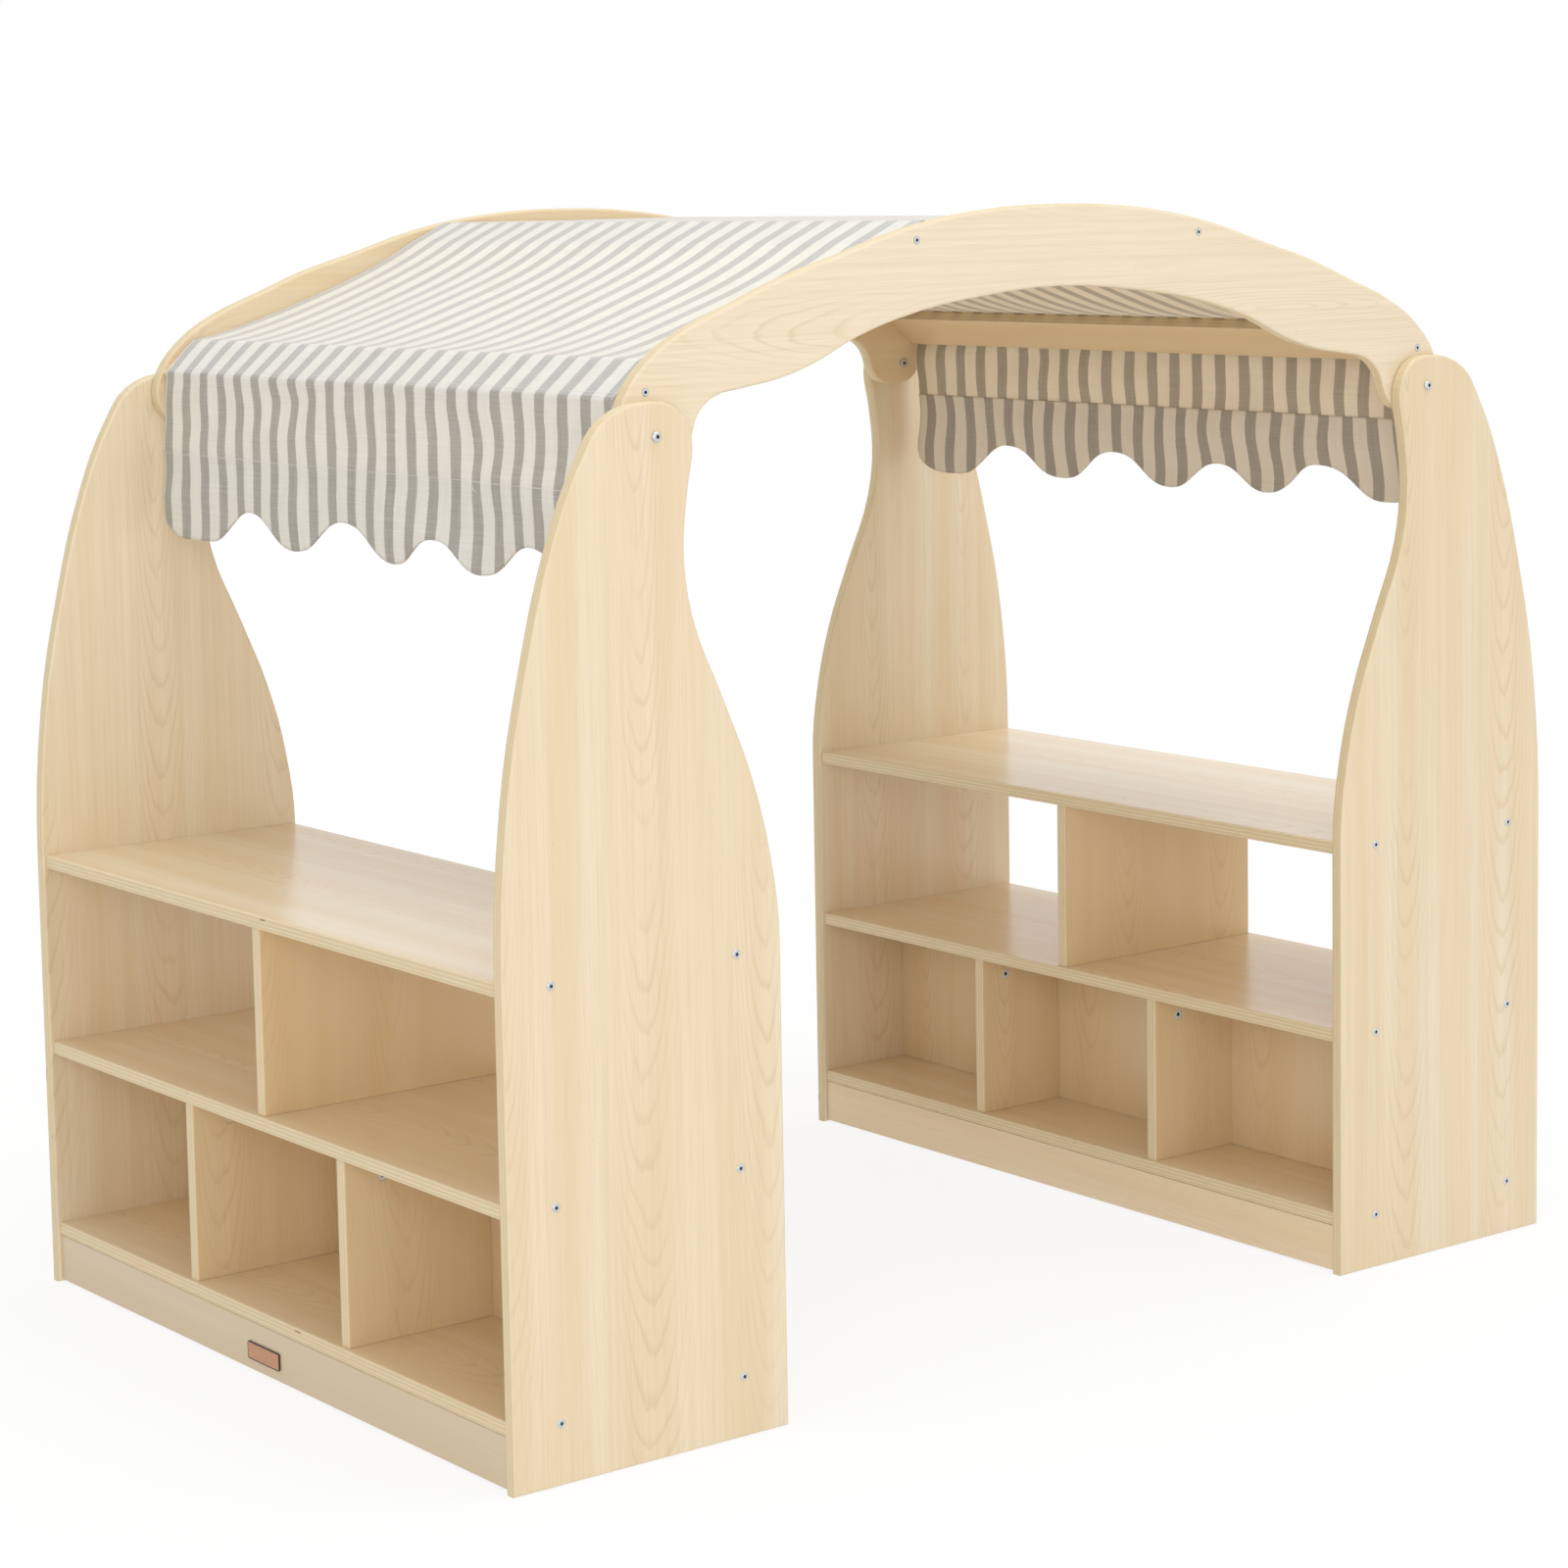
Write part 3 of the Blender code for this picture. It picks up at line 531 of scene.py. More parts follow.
def canvas_colour(tree, threads, grey, yarns, along):
    """The canvas's colour, from its uneven yarns, with a painted sheen that makes the grey stripes paler
    where it faces up, painted warm bounce light and shade on its inner face, faint clouds and a few pale
    neps."""
    facing_way = node(tree, "TexCoord", out="Normal")
    sideways = node(tree, "SeparateXYZ", facing_way, out=0)
    upwards = node(tree, "SeparateXYZ", facing_way, out=2)
    # Painted sheen: the grey stripes are made paler where the cloth faces up.
    painted_top_sheen = node(tree, "MapRange", upwards, 0.3, 0.95, 0.0, 0.37, **SMOOTH)
    # Painted warm bounce light and shade: the inner face, which faces the wood, is made warmer and darker.
    which_half = node(tree, "Math", along, operation="SIGN")
    outward = node(tree, "Math", which_half, sideways, upwards, operation="MULTIPLY_ADD")
    painted_inner_bounce = node(tree, "MapRange", outward, -0.5, 0.5, 0.34, 0.0, **SMOOTH)
    cloud = node(tree, "MapRange", threads(*CLOUD, 13.0, 2.0), 0.45, 0.8, 0.0, 0.12, **SMOOTH)
    nep = node(tree, "MapRange", threads(*NEP, 17.0), 0.76, 0.82, 0.0, 0.4, **SMOOTH)

    uneven = node(tree, "MapRange", yarns, 0.7, 1.3, **SMOOTH)
    undyed = node(tree, "Mix", uneven, named={6: linear("#F9FAF5"), 7: linear("#F1F0E8")}, **COLOURS)
    dyed = node(tree, "Mix", uneven, named={6: linear("#C6C5BE"), 7: linear("#B2AFA7")}, **COLOURS)
    dyed = node(tree, "Mix", painted_top_sheen, named={6: dyed, 7: linear("#F1F3F4")}, **COLOURS)
    outer = node(tree, "Mix", grey, named={6: undyed, 7: dyed}, **COLOURS)
    # The inner face's colours, with painted warm bounce light and shade in them.
    inner = node(tree, "Mix", grey, named={6: linear("#EFD2A0"), 7: linear("#A8906C")}, **COLOURS)
    colour = outer
    for share, other in ((painted_inner_bounce, inner), (cloud, linear("#CFC3AD")), (nep, linear("#F7F3EA"))):
        colour = node(tree, "Mix", share, named={6: colour, 7: other}, **COLOURS)
    return colour


def canvas():
    """Cotton canvas: plain-woven from dyed and undyed yarn, washed and unfinished. That gives matt, slightly
    fuzzy cloth with uneven threads, stripe edges that step from thread to thread, and a glow where light
    comes through. Its colour also holds painted light: a painted sheen that makes the grey stripes paler
    where the cloth faces up, and painted warm bounce light and shade on its inner face."""
    material, tree = new_material("striped cotton canvas")
    flat = node(tree, "UVMap", uv_map="cloth")
    across = node(tree, "SeparateXYZ", flat, out=0)
    along = node(tree, "SeparateXYZ", flat, out=1)

    def threads(size_across, size_along, shift, detail=1.0):
        """Noise stretched along either set of threads."""
        scale = (1 / size_across, 1 / size_along, 0)
        spread = node(tree, "VectorMath", flat, scale, (shift, shift, shift), operation="MULTIPLY_ADD")
        return node(tree, "TexNoise", named={"Vector": spread, "Scale": 1.0, "Detail": detail})

    warp = threads(THREAD_STREAK, STREAK_LENGTH, 5.0, 2.0)
    weft = threads(STREAK_LENGTH, THREAD_STREAK, 9.0, 2.0)
    yarns = node(tree, "Math", warp, weft, operation="ADD")
    colour = canvas_colour(tree, threads, stripes(tree, threads, across), yarns, along)

    across_turn = node(tree, "Math", across, math.pi / THREAD, operation="MULTIPLY")
    along_turn = node(tree, "Math", along, math.pi / THREAD, operation="MULTIPLY")
    over = node(tree, "Math", across_turn, operation="SINE")
    under = node(tree, "Math", along_turn, operation="SINE")
    crossing = node(tree, "Math", over, under, operation="MULTIPLY")
    weave = node(tree, "Math", crossing, 0.5, yarns, operation="MULTIPLY_ADD")
    bump = node(tree, "Bump", named={"Strength": 0.4, "Distance": 0.00008, "Height": weave})
    fuzzy = {
        "Base Color": colour,
        "Roughness": 0.9,
        "Specular IOR Level": 0.2,
        "Sheen Weight": 1.0,
        "Sheen Roughness": 0.3,
        "Normal": bump,
    }
    solid = node(tree, "BsdfPrincipled", named=fuzzy)
    warm = node(tree, "Mix", LIGHT_WARMTH, named={6: colour, 7: linear("#E6C88A")}, **COLOURS)
    through = node(tree, "BsdfTranslucent", named={"Color": warm, "Normal": bump})
    node_output(tree, node(tree, "MixShader", LIGHT_THROUGH, solid, through))
    return material


def near_rim(tree, place, low, high, width):
    """1 on the rim of an upright plate between two corners, and 0 on the rest of it, with a soft change."""
    off_centre = node(tree, "VectorMath", place, (low + high) / 2, operation="SUBTRACT")
    beside = node(tree, "VectorMath", off_centre, operation="ABSOLUTE")
    to_edge = node(tree, "VectorMath", (high - low) / 2, beside, operation="SUBTRACT")
    lengthways = node(tree, "SeparateXYZ", to_edge, out=1)
    upright = node(tree, "SeparateXYZ", to_edge, out=2)
    nearest = node(tree, "Math", lengthways, upright, operation="MINIMUM")
    return node(tree, "MapRange", nearest, width * 0.7, width, 1.0, 0.0)


def plain_finish(name, colours, roughness, metallic=0.0, size=0.002, rim=None):
    """A finish with a fine uneven tone. rim holds a plate's two corners, and the width and colour of the
    painted shade round its edge.
    """
    material, tree = new_material(name)
    place = node(tree, "TexCoord", out="Object")
    tone = node(tree, "TexNoise", named={"Vector": place, "Scale": 1 / size, "Detail": 3.0})
    colour = node(tree, "Mix", tone, named={6: linear(colours[0]), 7: linear(colours[1])}, **COLOURS)
    if rim:
        low, high, width, rim_shade_colour = rim
        # Painted shade round the plate's edge.
        share = near_rim(tree, place, low, high, width)
        colour = node(tree, "Mix", share, named={6: colour, 7: linear(rim_shade_colour)}, **COLOURS)
    rough = node(tree, "MapRange", tone, 0.3, 0.7, *roughness)
    bump = node(tree, "Bump", named={"Strength": 0.4, "Distance": 0.00005, "Height": tone})
    finish = {"Base Color": colour, "Roughness": rough, "Metallic": metallic, "Normal": bump}
    node_output(tree, node(tree, "BsdfPrincipled", named=finish))
    return material


def dress_boards():
    """Gives each board its own plywood, with the grain along the way that the board was cut."""
    axes = (Vector((1, 0, 0)), Vector((0, 1, 0)), Vector((0, 0, 1)))
    for seed, name in enumerate(sorted(NODES)):
        found = [kind for kind in BOARD_KINDS if name.endswith(kind[0])]
        if not found:
            continue
        word, grain_axis, toned = found[0]
        low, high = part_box(name)
        size = high - low
        thin_axis = min(range(3), key=lambda axis: size[axis])
        thick = axes[thin_axis]
        thickness = size[thin_axis]
        if word == "slat":
            thickness = BOARD
            slope = (END_SLAT if "_end_" in name else TOP_SLAT)[2]
            side = -1 if name.startswith("left") else 1
            thick = Vector((side * math.sin(slope), 0, math.cos(slope)))
        along = axes[grain_axis]
        across = thick.cross(along)
        middle = (low + high) / 2
        label = "maple plywood " + name
        plywood = maple_plywood(label, middle, along, across, thick, thickness, seed, toned)
        NODES[name].data.materials.clear()
        NODES[name].data.materials.append(plywood)


def slat_point(place, along, out):
    """A point by a right-hand slat, from its middle: along its width, and out towards the cloth."""
    across, height, slope = place
    downhill = Vector((math.cos(slope), -math.sin(slope)))
    outward = Vector((math.sin(slope), math.cos(slope)))
    return Vector((across, height)) + along * downhill + out * outward


def rounded(points, corners):
    """The points, with each corner drawn as a small round bend."""
    made = []
    for index, (point, sag) in enumerate(points):
        if point not in corners:
            made.append((point, sag))
            continue
        before = (points[index - 1][0] - point).normalized() * BEND_LEG
        after = Vector((0, -BEND_LEG))
        if index + 1 < len(points):
            after = (points[index + 1][0] - point).normalized() * BEND_LEG
        made.append((point + before, sag))
        made.append((point + (before + after) / 4, sag))
        made.append((point + after, sag))
    return made


def roof_section():
    """Half of the roof's outer face, from the middle to the stitched bend: points with how far they sag."""
    half = SLAT_WIDTH / 2
    out = BOARD / 2 + CLOTH_LIFT + CLOTH
    top_high, top_low = (slat_point(TOP_SLAT, along, out) for along in (-half, half))
    end_high, end_low = (slat_point(END_SLAT, along, out) for along in (-half, half))
    middle = Vector((0, top_high.y))
    stretches = (
        (middle, top_high, TOP_SAG),
        (top_high, top_low, 0),
        (top_low, end_high, ROOF_SAG),
        (end_high, end_low, 0),
    )
    points = []
    for start, end, sag in stretches:
        steps = max(1, round((end - start).length / ROOF_ROW))
        for step in range(steps):
            share = step / steps
            # Between two slats the cloth hangs in a wide hollow. To the roof's middle it slopes evenly down.
            form = 1 - abs(2 * share - 1) ** 3 if sag == ROOF_SAG else 1 - share
            points.append((start.lerp(end, share), sag * form))
    points.append((end_low, 0))
    return rounded(points, (end_high, end_low))


SECTION = roof_section()
SECTION_LENGTHS = [0.0]
for (before, _), (after, _) in zip(SECTION, SECTION[1:]):
    SECTION_LENGTHS.append(SECTION_LENGTHS[-1] + (after - before).length)
ROOF_HALF = SECTION_LENGTHS[-1]
BEND = SECTION[-1][0]


def seam_drop(side):
    """How far the seam lies below the bend."""
    return SEAM_DROP - side * SHIFT_LEFT


def hem_drop(side, across):
    """How far the hem lies below the seam: between two turning points it runs down or up in a soft S."""
    for (start, start_down), (end, end_down) in zip(HEM_TURNS[side], HEM_TURNS[side][1:]):
        if across <= end:
            break
    share = (across - start) / (end - start)
    wave = (1 - math.cos(math.pi * share)) / 2
    curve = (1 - HEM_STEEPNESS) * wave + HEM_STEEPNESS * smooth_step(wave)
    down = start_down + (end_down - start_down) * curve
    from_edge = min(across, CLOTH_WIDTH - across)
    rounding = max(0.0, 1 - from_edge / CORNER_ROUND)
    down -= CORNER_LIFT * (1 - math.sqrt(max(0.0, 1 - rounding**2)))
    return NOTCH_DROP + (LOBE_DROP - NOTCH_DROP) * down


def below_seam(side, across, share):
    """A way along the cloth between its seam, at 0, and its hem, at 1."""
    return side * (ROOF_HALF + seam_drop(side) + share * hem_drop(side, across))


def slack(side, across, drop, pattern):
    """Soft folds in the hanging cloth that die out at the bend: wide ones, and a few small ones on them."""
    wide = noise.noise(Vector((across / WIDE_FOLD[0], drop / WIDE_FOLD[1], side * 5 + pattern)))
    small = noise.noise(Vector((across / SMALL_FOLD[0], drop / SMALL_FOLD[1], side * 3 + pattern)))
    return smooth_step(drop / FOLDS_BEGIN) * (wide + SMALL_FOLD_SHARE * small)


def fold_out(side, across, drop):
    """How far the hanging cloth stands out from the bend: hollow between its two rows of stitches, then out
    again towards the hem."""
    folds = slack(side, across, drop, OUT_PATTERN) * FOLD_OUT
    hollow = math.sin(math.pi * min(1.0, drop / SEAM_DROP)) * HOLLOW
    lower = smooth_step((drop - SEAM_DROP) / FLARE_RUN)
    wave = math.sin(2 * math.pi * across / FLARE_WAVE_LENGTH + side)
    return folds - hollow + lower * (FLARE + FLARE_WAVE * wave)


def drawn_in(side, across, far):
    """How far the cloth is drawn in from its back edge at the left bend."""
    if side > 0:
        return 0.0
    near_bend = math.exp(-(((far - ROOF_HALF) / DRAWN_REACH) ** 2))
    near_edge = smooth_step((across - CLOTH_WIDTH + DRAWN_WIDTH) / DRAWN_WIDTH)
    return DRAWN_IN * near_bend * near_edge


def on_cloth(across, run):
    """A point of the cloth's outer face. run is the way along the cloth from the roof's middle, positive to
    the right."""
    side = -1 if run < 0 else 1
    far = abs(run)
    y = across - CLOTH_WIDTH / 2 - drawn_in(side, across, far)
    if far >= ROOF_HALF:
        drop = far - ROOF_HALF
        out = BEND.x + fold_out(side, across, drop)
        aside = slack(side, across, drop, ASIDE_PATTERN) * FOLD_ASIDE
        return Vector((side * out, y + aside, BEND.y - drop))
    for index, length in enumerate(SECTION_LENGTHS[1:]):
        if far <= length:
            break
    before, after = SECTION[index], SECTION[index + 1]
    share = (far - SECTION_LENGTHS[index]) / (SECTION_LENGTHS[index + 1] - SECTION_LENGTHS[index])
    point = before[0].lerp(after[0], share)
    sag = before[1] + (after[1] - before[1]) * share
    full = SAG_AT_EDGES + (1 - SAG_AT_EDGES) * math.cos(math.pi * y / CLOTH_WIDTH)
    ripple = noise.noise(Vector((across / RIPPLE[0], run / RIPPLE[1], 4.0))) * RIPPLE_SHARE
    return Vector((side * point.x, y, point.y - sag * (full + ripple)))


def outward_at(across, run):
    """The direction square to the cloth."""
    step = 0.002
    u = min(max(across, step), CLOTH_WIDTH - step)
    along_u = on_cloth(u + step, run) - on_cloth(u - step, run)
    along_run = on_cloth(u, run + step) - on_cloth(u, run - step)
    return along_run.cross(along_u).normalized()


def cloth_mesh(name, flats, rows, material):
    """A sheet of rows of points, with each point's place on the flat cloth."""
    mesh = bpy.data.meshes.new(name)
    points = [point for row in rows for point in row]
    places = [place for row in flats for place in row]
    wide = len(rows[0])
    faces = []
    for row in range(len(rows) - 1):
        for column in range(wide - 1):
            first = row * wide + column
            faces.append((first, first + 1, first + wide + 1, first + wide))
    mesh.from_pydata(points, [], faces)
    layer = mesh.uv_layers.new(name="cloth")
    for loop in mesh.loops:
        layer.data[loop.index].uv = places[loop.vertex_index]
    mesh.shade_smooth()
    mesh.materials.append(material)
    return add_object(name, mesh)


def thicken(piece, which_side):
    """Gives a sheet the cloth's thickness, to one side of its points."""
    layer = piece.modifiers.new("cloth", "SOLIDIFY")
    layer.thickness = CLOTH
    layer.offset = which_side


def rows_to_seams():
    """The ways along the cloth at which it has a row, from seam to seam: close together at the bends."""
    left, right = (
        [side * (ROOF_HALF + drop * seam_drop(side) / SEAM_DROP) for drop in HANGING_ROWS]
        for side in (-1, 1)
    )
    roof_left = [-length for length in SECTION_LENGTHS[1:]]
    return left[::-1] + roof_left[::-1] + SECTION_LENGTHS + right


def canopy(material):
    """The whole cloth in one sheet, from the left hem over the slats to the right hem."""
    flats = []
    for step in range(HEM_ROWS, 0, -1):
        flats.append([(u, below_seam(-1, u, step / HEM_ROWS)) for u in ACROSS])
    for run in rows_to_seams():
        flats.append([(u, run) for u in ACROSS])
    for step in range(1, HEM_ROWS + 1):
        flats.append([(u, below_seam(1, u, step / HEM_ROWS)) for u in ACROSS])
    rows = [[on_cloth(u, run) for u, run in flat] for flat in flats]
    piece = cloth_mesh("canopy", flats, rows, material)
    thicken(piece, 1)
    return piece


def facing(side, label, material):
    """The second layer behind the lower part of the hanging cloth, cut from the same canvas."""
    flats, rows = [], []
    for step in range(-1, HEM_ROWS + 1):
        share = max(0, step) / HEM_ROWS
        behind = CLOTH + FACING_GAP + FACING_BULGE * math.sin(math.pi * share)
        start = side * (ROOF_HALF + seam_drop(side) - FACING_ABOVE_SEAM)
        runs = [start if step < 0 else below_seam(side, u, share) for u in ACROSS]
        flats.append([(u + FACING_STRIPE_SHIFT, run) for u, run in zip(ACROSS, runs)])
        rows.append([on_cloth(u, run) - Vector((side * behind, 0, 0)) for u, run in zip(ACROSS, runs)])
    piece = cloth_mesh(label + "_facing", flats, rows, material)
    thicken(piece, side)
    return piece


def stitches(name, places, thread):
    """Sewing thread: one short rounded length between each pair of points."""
    # Shares of a length with the share of the thread's width there.
    rings = ((0.0, 0.35), (0.18, 1.0), (0.82, 1.0), (1.0, 0.35))
    points, faces = [], []
    for start, end, outward in places:
        along = (end - start).normalized()
        beside = along.cross(outward).normalized()
        base = len(points)
        for share, wide in rings:
            middle = start.lerp(end, share) + outward * (THREAD_THICK / 4)
            for turn in range(THREAD_SIDES):
                angle = 2 * math.pi * turn / THREAD_SIDES
                spread = beside * math.cos(angle) + outward * math.sin(angle)
                points.append(middle + spread * (THREAD_THICK / 2 * wide))
        for ring in range(len(rings) - 1):
            for turn in range(THREAD_SIDES):
                first = base + ring * THREAD_SIDES + turn
                other = base + ring * THREAD_SIDES + (turn + 1) % THREAD_SIDES
                faces.append((first, other, other + THREAD_SIDES, first + THREAD_SIDES))
        faces.append(tuple(base + turn for turn in reversed(range(THREAD_SIDES))))
        last = base + (len(rings) - 1) * THREAD_SIDES
        faces.append(tuple(last + turn for turn in range(THREAD_SIDES)))
    mesh = bpy.data.meshes.new(name)
    mesh.from_pydata(points, [], faces)
    mesh.shade_smooth()
    mesh.materials.append(thread)
    return add_object(name, mesh)


def cross_row(run):
    """Stitches across the whole width of the cloth."""
    count = int(CLOTH_WIDTH / (STITCH + STITCH_GAP))
    pitch = CLOTH_WIDTH / count
    for step in range(count):
        start = step * pitch + STITCH_GAP / 2
        end = start + pitch - STITCH_GAP
        yield on_cloth(start, run), on_cloth(end, run), outward_at((start + end) / 2, run)


def edge_row(across):
    """Stitches along one cut edge of the cloth, from hem to hem."""
    pitch = STITCH + STITCH_GAP
    low = below_seam(-1, across, EDGE_STITCH_END)
    high = below_seam(1, across, EDGE_STITCH_END)
    for step in range(int((high - low) / pitch)):
        start = low + step * pitch
        end = start + STITCH
        yield on_cloth(across, start), on_cloth(across, end), outward_at(across, (start + end) / 2)


def sew(thread):
    """The rows of stitches: at both bends, both seams and both cut edges."""
    rows = []
    for side, label in SIDES:
        bend = side * (ROOF_HALF - BEND_STITCH_ABOVE)
        seam = side * (ROOF_HALF + seam_drop(side))
        rows.append(stitches(label + "_bend_stitches", cross_row(bend), thread))
        rows.append(stitches(label + "_seam_stitches", cross_row(seam), thread))
    for label, across in (("front", EDGE_STITCH_IN), ("back", CLOTH_WIDTH - EDGE_STITCH_IN)):
        rows.append(stitches(label + "_edge_stitches", edge_row(across), thread))
    return rows


def loose_ends(thread):
    """Short curled ends of thread, where a row of stitches ends or a thread has worked loose."""
    places = []
    for across, side, drop, wide, down in LOOSE_ENDS:
        start = on_cloth(across, side * (ROOF_HALF + drop))
        route = []
        for step in range(LOOSE_END_PIECES + 1):
            share = step / LOOSE_END_PIECES
            curl = LOOSE_END_CURL * math.sin(math.pi * share)
            route.append(start + Vector((side * curl, wide * share, -down * share * share)))
        places += [(first, after, Vector((side, 0, 0))) for first, after in zip(route, route[1:])]
    return stitches("loose_thread_ends", places, thread)


def turned(name, rings, centre, toward, metal, shade_finish):
    """A turned fastener. The rings from the first six-sided one on are the driver's socket, which takes the
    painted shade.
    """
    outward = Vector((0, toward, 0))
    beside = Vector((1, 0, 0))
    above = outward.cross(beside)
    points, faces, in_socket = [], [], []
    for radius, height, six_sided in rings:
        for step in range(TURN_STEPS):
            angle = 2 * math.pi * step / TURN_STEPS
            reach = radius
            if six_sided:
                reach = radius * math.cos(math.pi / 6) / math.cos(angle % (math.pi / 3) - math.pi / 6)
            spread = beside * math.cos(angle) + above * math.sin(angle)
            points.append(Vector(centre) + spread * reach + outward * height)
    for ring in range(len(rings) - 1):
        for step in range(TURN_STEPS):
            first = ring * TURN_STEPS + step
            other = ring * TURN_STEPS + (step + 1) % TURN_STEPS
            faces.append((first, other, other + TURN_STEPS, first + TURN_STEPS))
            in_socket.append(rings[ring][2])
    faces.append(tuple(reversed(range(TURN_STEPS))))
    in_socket.append(False)
    last = (len(rings) - 1) * TURN_STEPS
    faces.append(tuple(last + step for step in range(TURN_STEPS)))
    in_socket.append(rings[-1][2])
    mesh = bpy.data.meshes.new(name)
    mesh.from_pydata(points, [], faces)
    mesh.materials.append(metal)
    mesh.materials.append(shade_finish)
    for face, shaded_face in zip(mesh.polygons, in_socket):
        face.material_index = 1 if shaded_face else 0
    mesh.shade_smooth()
    mesh.set_sharp_from_angle(angle=SHARP_ANGLE)
    shape = bmesh.new()
    shape.from_mesh(mesh)
    bmesh.ops.recalc_face_normals(shape, faces=shape.faces)
    shape.to_mesh(mesh)
    shape.free()
    return add_object(name, mesh)


def fitted_fasteners(metal, cast, shade_finish, cap):
    """Finer bolts, nuts, slat screws and cams in place of the plain ones, each where its solid is."""
    made = []
    for kind, rings, finish in (
        ("bolt", BOLT_RINGS, metal),
        ("nut", NUT_RINGS, metal),
        ("screw", SLAT_SCREW_RINGS, metal),
        ("cam", CAM_RINGS, cast),
    ):
        for name in sorted(found for found in NODES if found.endswith("_" + kind)):
            low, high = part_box(name)
            toward = -1 if "_front_" in name or kind == "cam" else 1
            if kind == "nut":
                toward = -toward
            face = low.y if toward < 0 else high.y
            if kind in ("bolt", "nut"):
                # These stand out of the board by their height, and the others lie in its face.
                face -= toward * max(height for radius, height, six_sided in rings)
            centre = ((low.x + high.x) / 2, face, (low.z + high.z) / 2)
            if name == CAPPED_CAM:
                piece = turned("fine_" + name, CAP_RINGS, centre, toward, cap, cap)
            else:
                piece = turned("fine_" + name, rings, centre, toward, finish, shade_finish)
            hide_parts(name)
            made.append(piece)
    return made


def panel_screws(metal, shade_finish):
    """The flat-headed screws that hold the shelves, six in each side panel."""
    made = []
    across_places = (abs(UNIT_OUTER) - PANEL_SCREW_IN, abs(UNIT_INNER) + PANEL_SCREW_IN)
    for side, label in SIDES:
        for end, toward in (("front", -1), ("back", 1)):
            for edge, across in zip(("outer", "inner"), across_places):
                for number, height in enumerate(PANEL_SCREW_HEIGHTS, start=1):
                    name = f"{label}_{end}_panel_{edge}_screw_{number}"
                    centre = (side * across, -toward * PANEL_FRONT, height)
                    made.append(turned(name, PANEL_SCREW_RINGS, centre, toward, metal, shade_finish))
    return made


def studio_floor():
    """A pale floor that keeps a soft shadow."""
    mesh = bpy.data.meshes.new("floor")
    corners = [(x * FLOOR_REACH, y * FLOOR_REACH, 0) for x, y in ((-1, -1), (1, -1), (1, 1), (-1, 1))]
    mesh.from_pydata(corners, [], [(0, 1, 2, 3)])
    floor = add_object("floor", mesh)
    floor.location.z = -FLOOR_BELOW
    material, tree = new_material("pale studio floor")
    by_camera = node(tree, "LightPath", out="Is Camera Ray")
    by_gloss = node(tree, "LightPath", out="Is Glossy Ray")
    seen = node(tree, "Math", by_camera, by_gloss, operation="MAXIMUM")
    spot = node(tree, "TexCoord", out="Object")
    away = node(tree, "VectorMath", spot, operation="LENGTH", out="Value")
    white_share = node(tree, "MapRange", away, *FLOOR_FADE, *FLOOR_WHITENESS, **SMOOTH)
    glow = node(tree, "Math", seen, FLOOR_GLOW, operation="MAXIMUM")
    share = node(tree, "Math", glow, white_share, operation="MULTIPLY")
    matt = node(tree, "BsdfDiffuse", linear("#FAFAFA"))
    white = node(tree, "Emission", named={"Strength": 1.0})
    node_output(tree, node(tree, "MixShader", share, matt, white))
    mesh.materials.append(material)


def white_room():
    """An even white room, whose light is slightly warm."""
    world = bpy.data.worlds.new("white room")
    world.use_nodes = True
    bpy.context.scene.world = world
    tree = world.node_tree
    tree.nodes.clear()
    by_camera = node(tree, "LightPath", out="Is Camera Ray")
    by_gloss = node(tree, "LightPath", out="Is Glossy Ray")
    through = node(tree, "LightPath", out="Is Transmission Ray")
    plainly = node(tree, "Math", by_camera, by_gloss, operation="MAXIMUM")
    seen = node(tree, "Math", plainly, through, operation="MAXIMUM")
    tone = node(tree, "Mix", seen, named={6: ROOM_LIGHT, 7: WHITE}, **COLOURS)
    sky = node(tree, "Background", tone, 1.0)
    end = tree.nodes.new("ShaderNodeOutputWorld")
    tree.links.new(sky, end.inputs[0])


def lamps():
    """A wide lamp in front and one above."""
    for name, place, size, power, colour in LAMPS:
        data = bpy.data.lights.new(name, "AREA")
        data.size = size
        data.energy = power
        data.color = colour
        lamp = add_object(name, data)
        lamp.location = place
        lamp.rotation_euler = (LAMP_AIM - lamp.location).to_track_quat("-Z", "Y").to_euler()


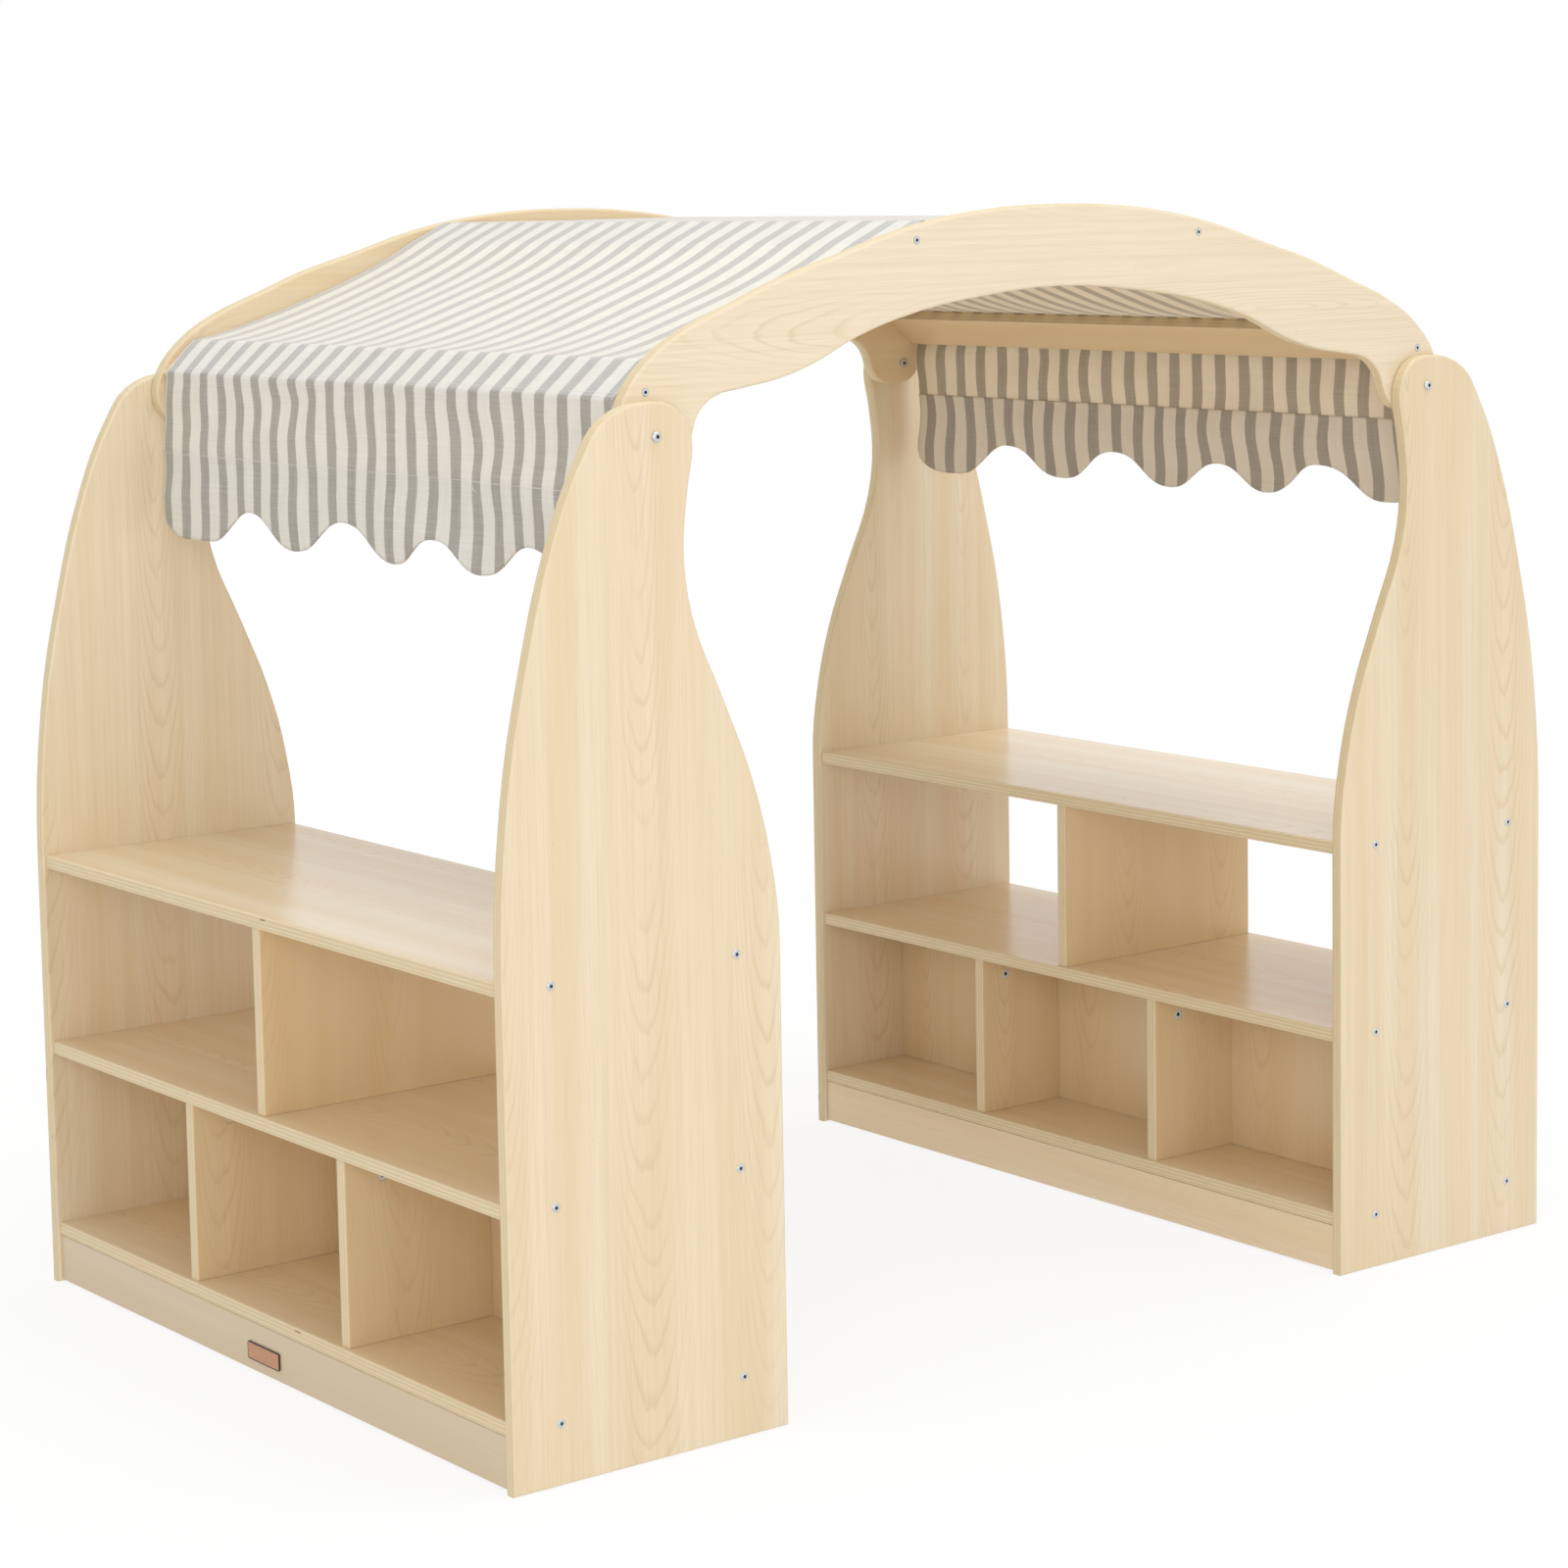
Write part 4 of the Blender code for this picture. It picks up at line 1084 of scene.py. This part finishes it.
def camera():
    """The photograph's camera."""
    data = bpy.data.cameras.new("camera")
    data.lens = LENS
    data.sensor_width = SENSOR
    data.shift_y = SHIFT_UP
    obj = add_object("camera", data)
    yaw, pitch, roll = (math.radians(angle) for angle in CAMERA_ANGLES)
    turn = Matrix.Rotation(-yaw, 4, "Z") @ Matrix.Rotation(math.pi / 2 + pitch, 4, "X")
    turn = turn @ Matrix.Rotation(roll, 4, "Z")
    obj.matrix_world = Matrix.Translation(CAMERA_PLACE) @ turn
    bpy.context.scene.camera = obj


bpy.context.scene.view_settings.view_transform = "Standard"
camera()
studio_floor()
white_room()
lamps()
dress_boards()

# Zinc-plated steel, bright and slightly cloudy, for bolts, nuts and screws. Down in the sockets a darker
# steel is painted shade.
ZINC = plain_finish("bright zinc plate", ("#DDE0E3", "#C6CBD0"), (0.28, 0.42), metallic=1.0)
# Painted shade for the sockets' hollows.
SOCKET_SHADE = plain_finish("shadowed socket steel", ("#6C727A", "#50565D"), (0.5, 0.6), metallic=1.0)
# Die-cast zinc, tumbled: pale grey and matt, for the cams.
CAST_ZINC = plain_finish("tumbled cast zinc", ("#DEDFDD", "#CFD1D0"), (0.45, 0.6), metallic=0.1)
# Maple-coloured plastic, moulded and satin: the cap that hides one cam.
CAP = plain_finish("maple-toned plastic cap", ("#E2D0AE", "#DAC59E"), (0.4, 0.5))
# Spun cotton, matt.
THREAD_COTTON = plain_finish("cotton sewing thread", ("#FAF7EF", "#ECE6DA"), (0.8, 0.9), size=0.0008)
# Copper-toned sheet metal, lacquered to a satin sheen, with painted shade round its edge as a dark line.
PLATE = plain_finish(
    "bare copper-toned plate",
    ("#C79472", "#B5805C"),
    (0.35, 0.5),
    metallic=0.2,
    size=0.004,
    rim=(*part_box("blank_plate"), PLATE_SHADE_LINE, "#3B2E29"),
)
CANVAS = canvas()

NODES["blank_plate"].data.materials.clear()
NODES["blank_plate"].data.materials.append(PLATE)

cloth = canopy(CANVAS)
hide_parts("canopy_roof", "left_valance", "right_valance")
facings = [facing(side, label, CANVAS) for side, label in SIDES]
seams = sew(THREAD_COTTON) + [loose_ends(THREAD_COTTON)]
screws = panel_screws(ZINC, SOCKET_SHADE) + fitted_fasteners(ZINC, CAST_ZINC, SOCKET_SHADE, CAP)

for piece in (cloth, *facings, *seams):
    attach(piece, "root")
for piece in screws:
    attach(piece, "root")
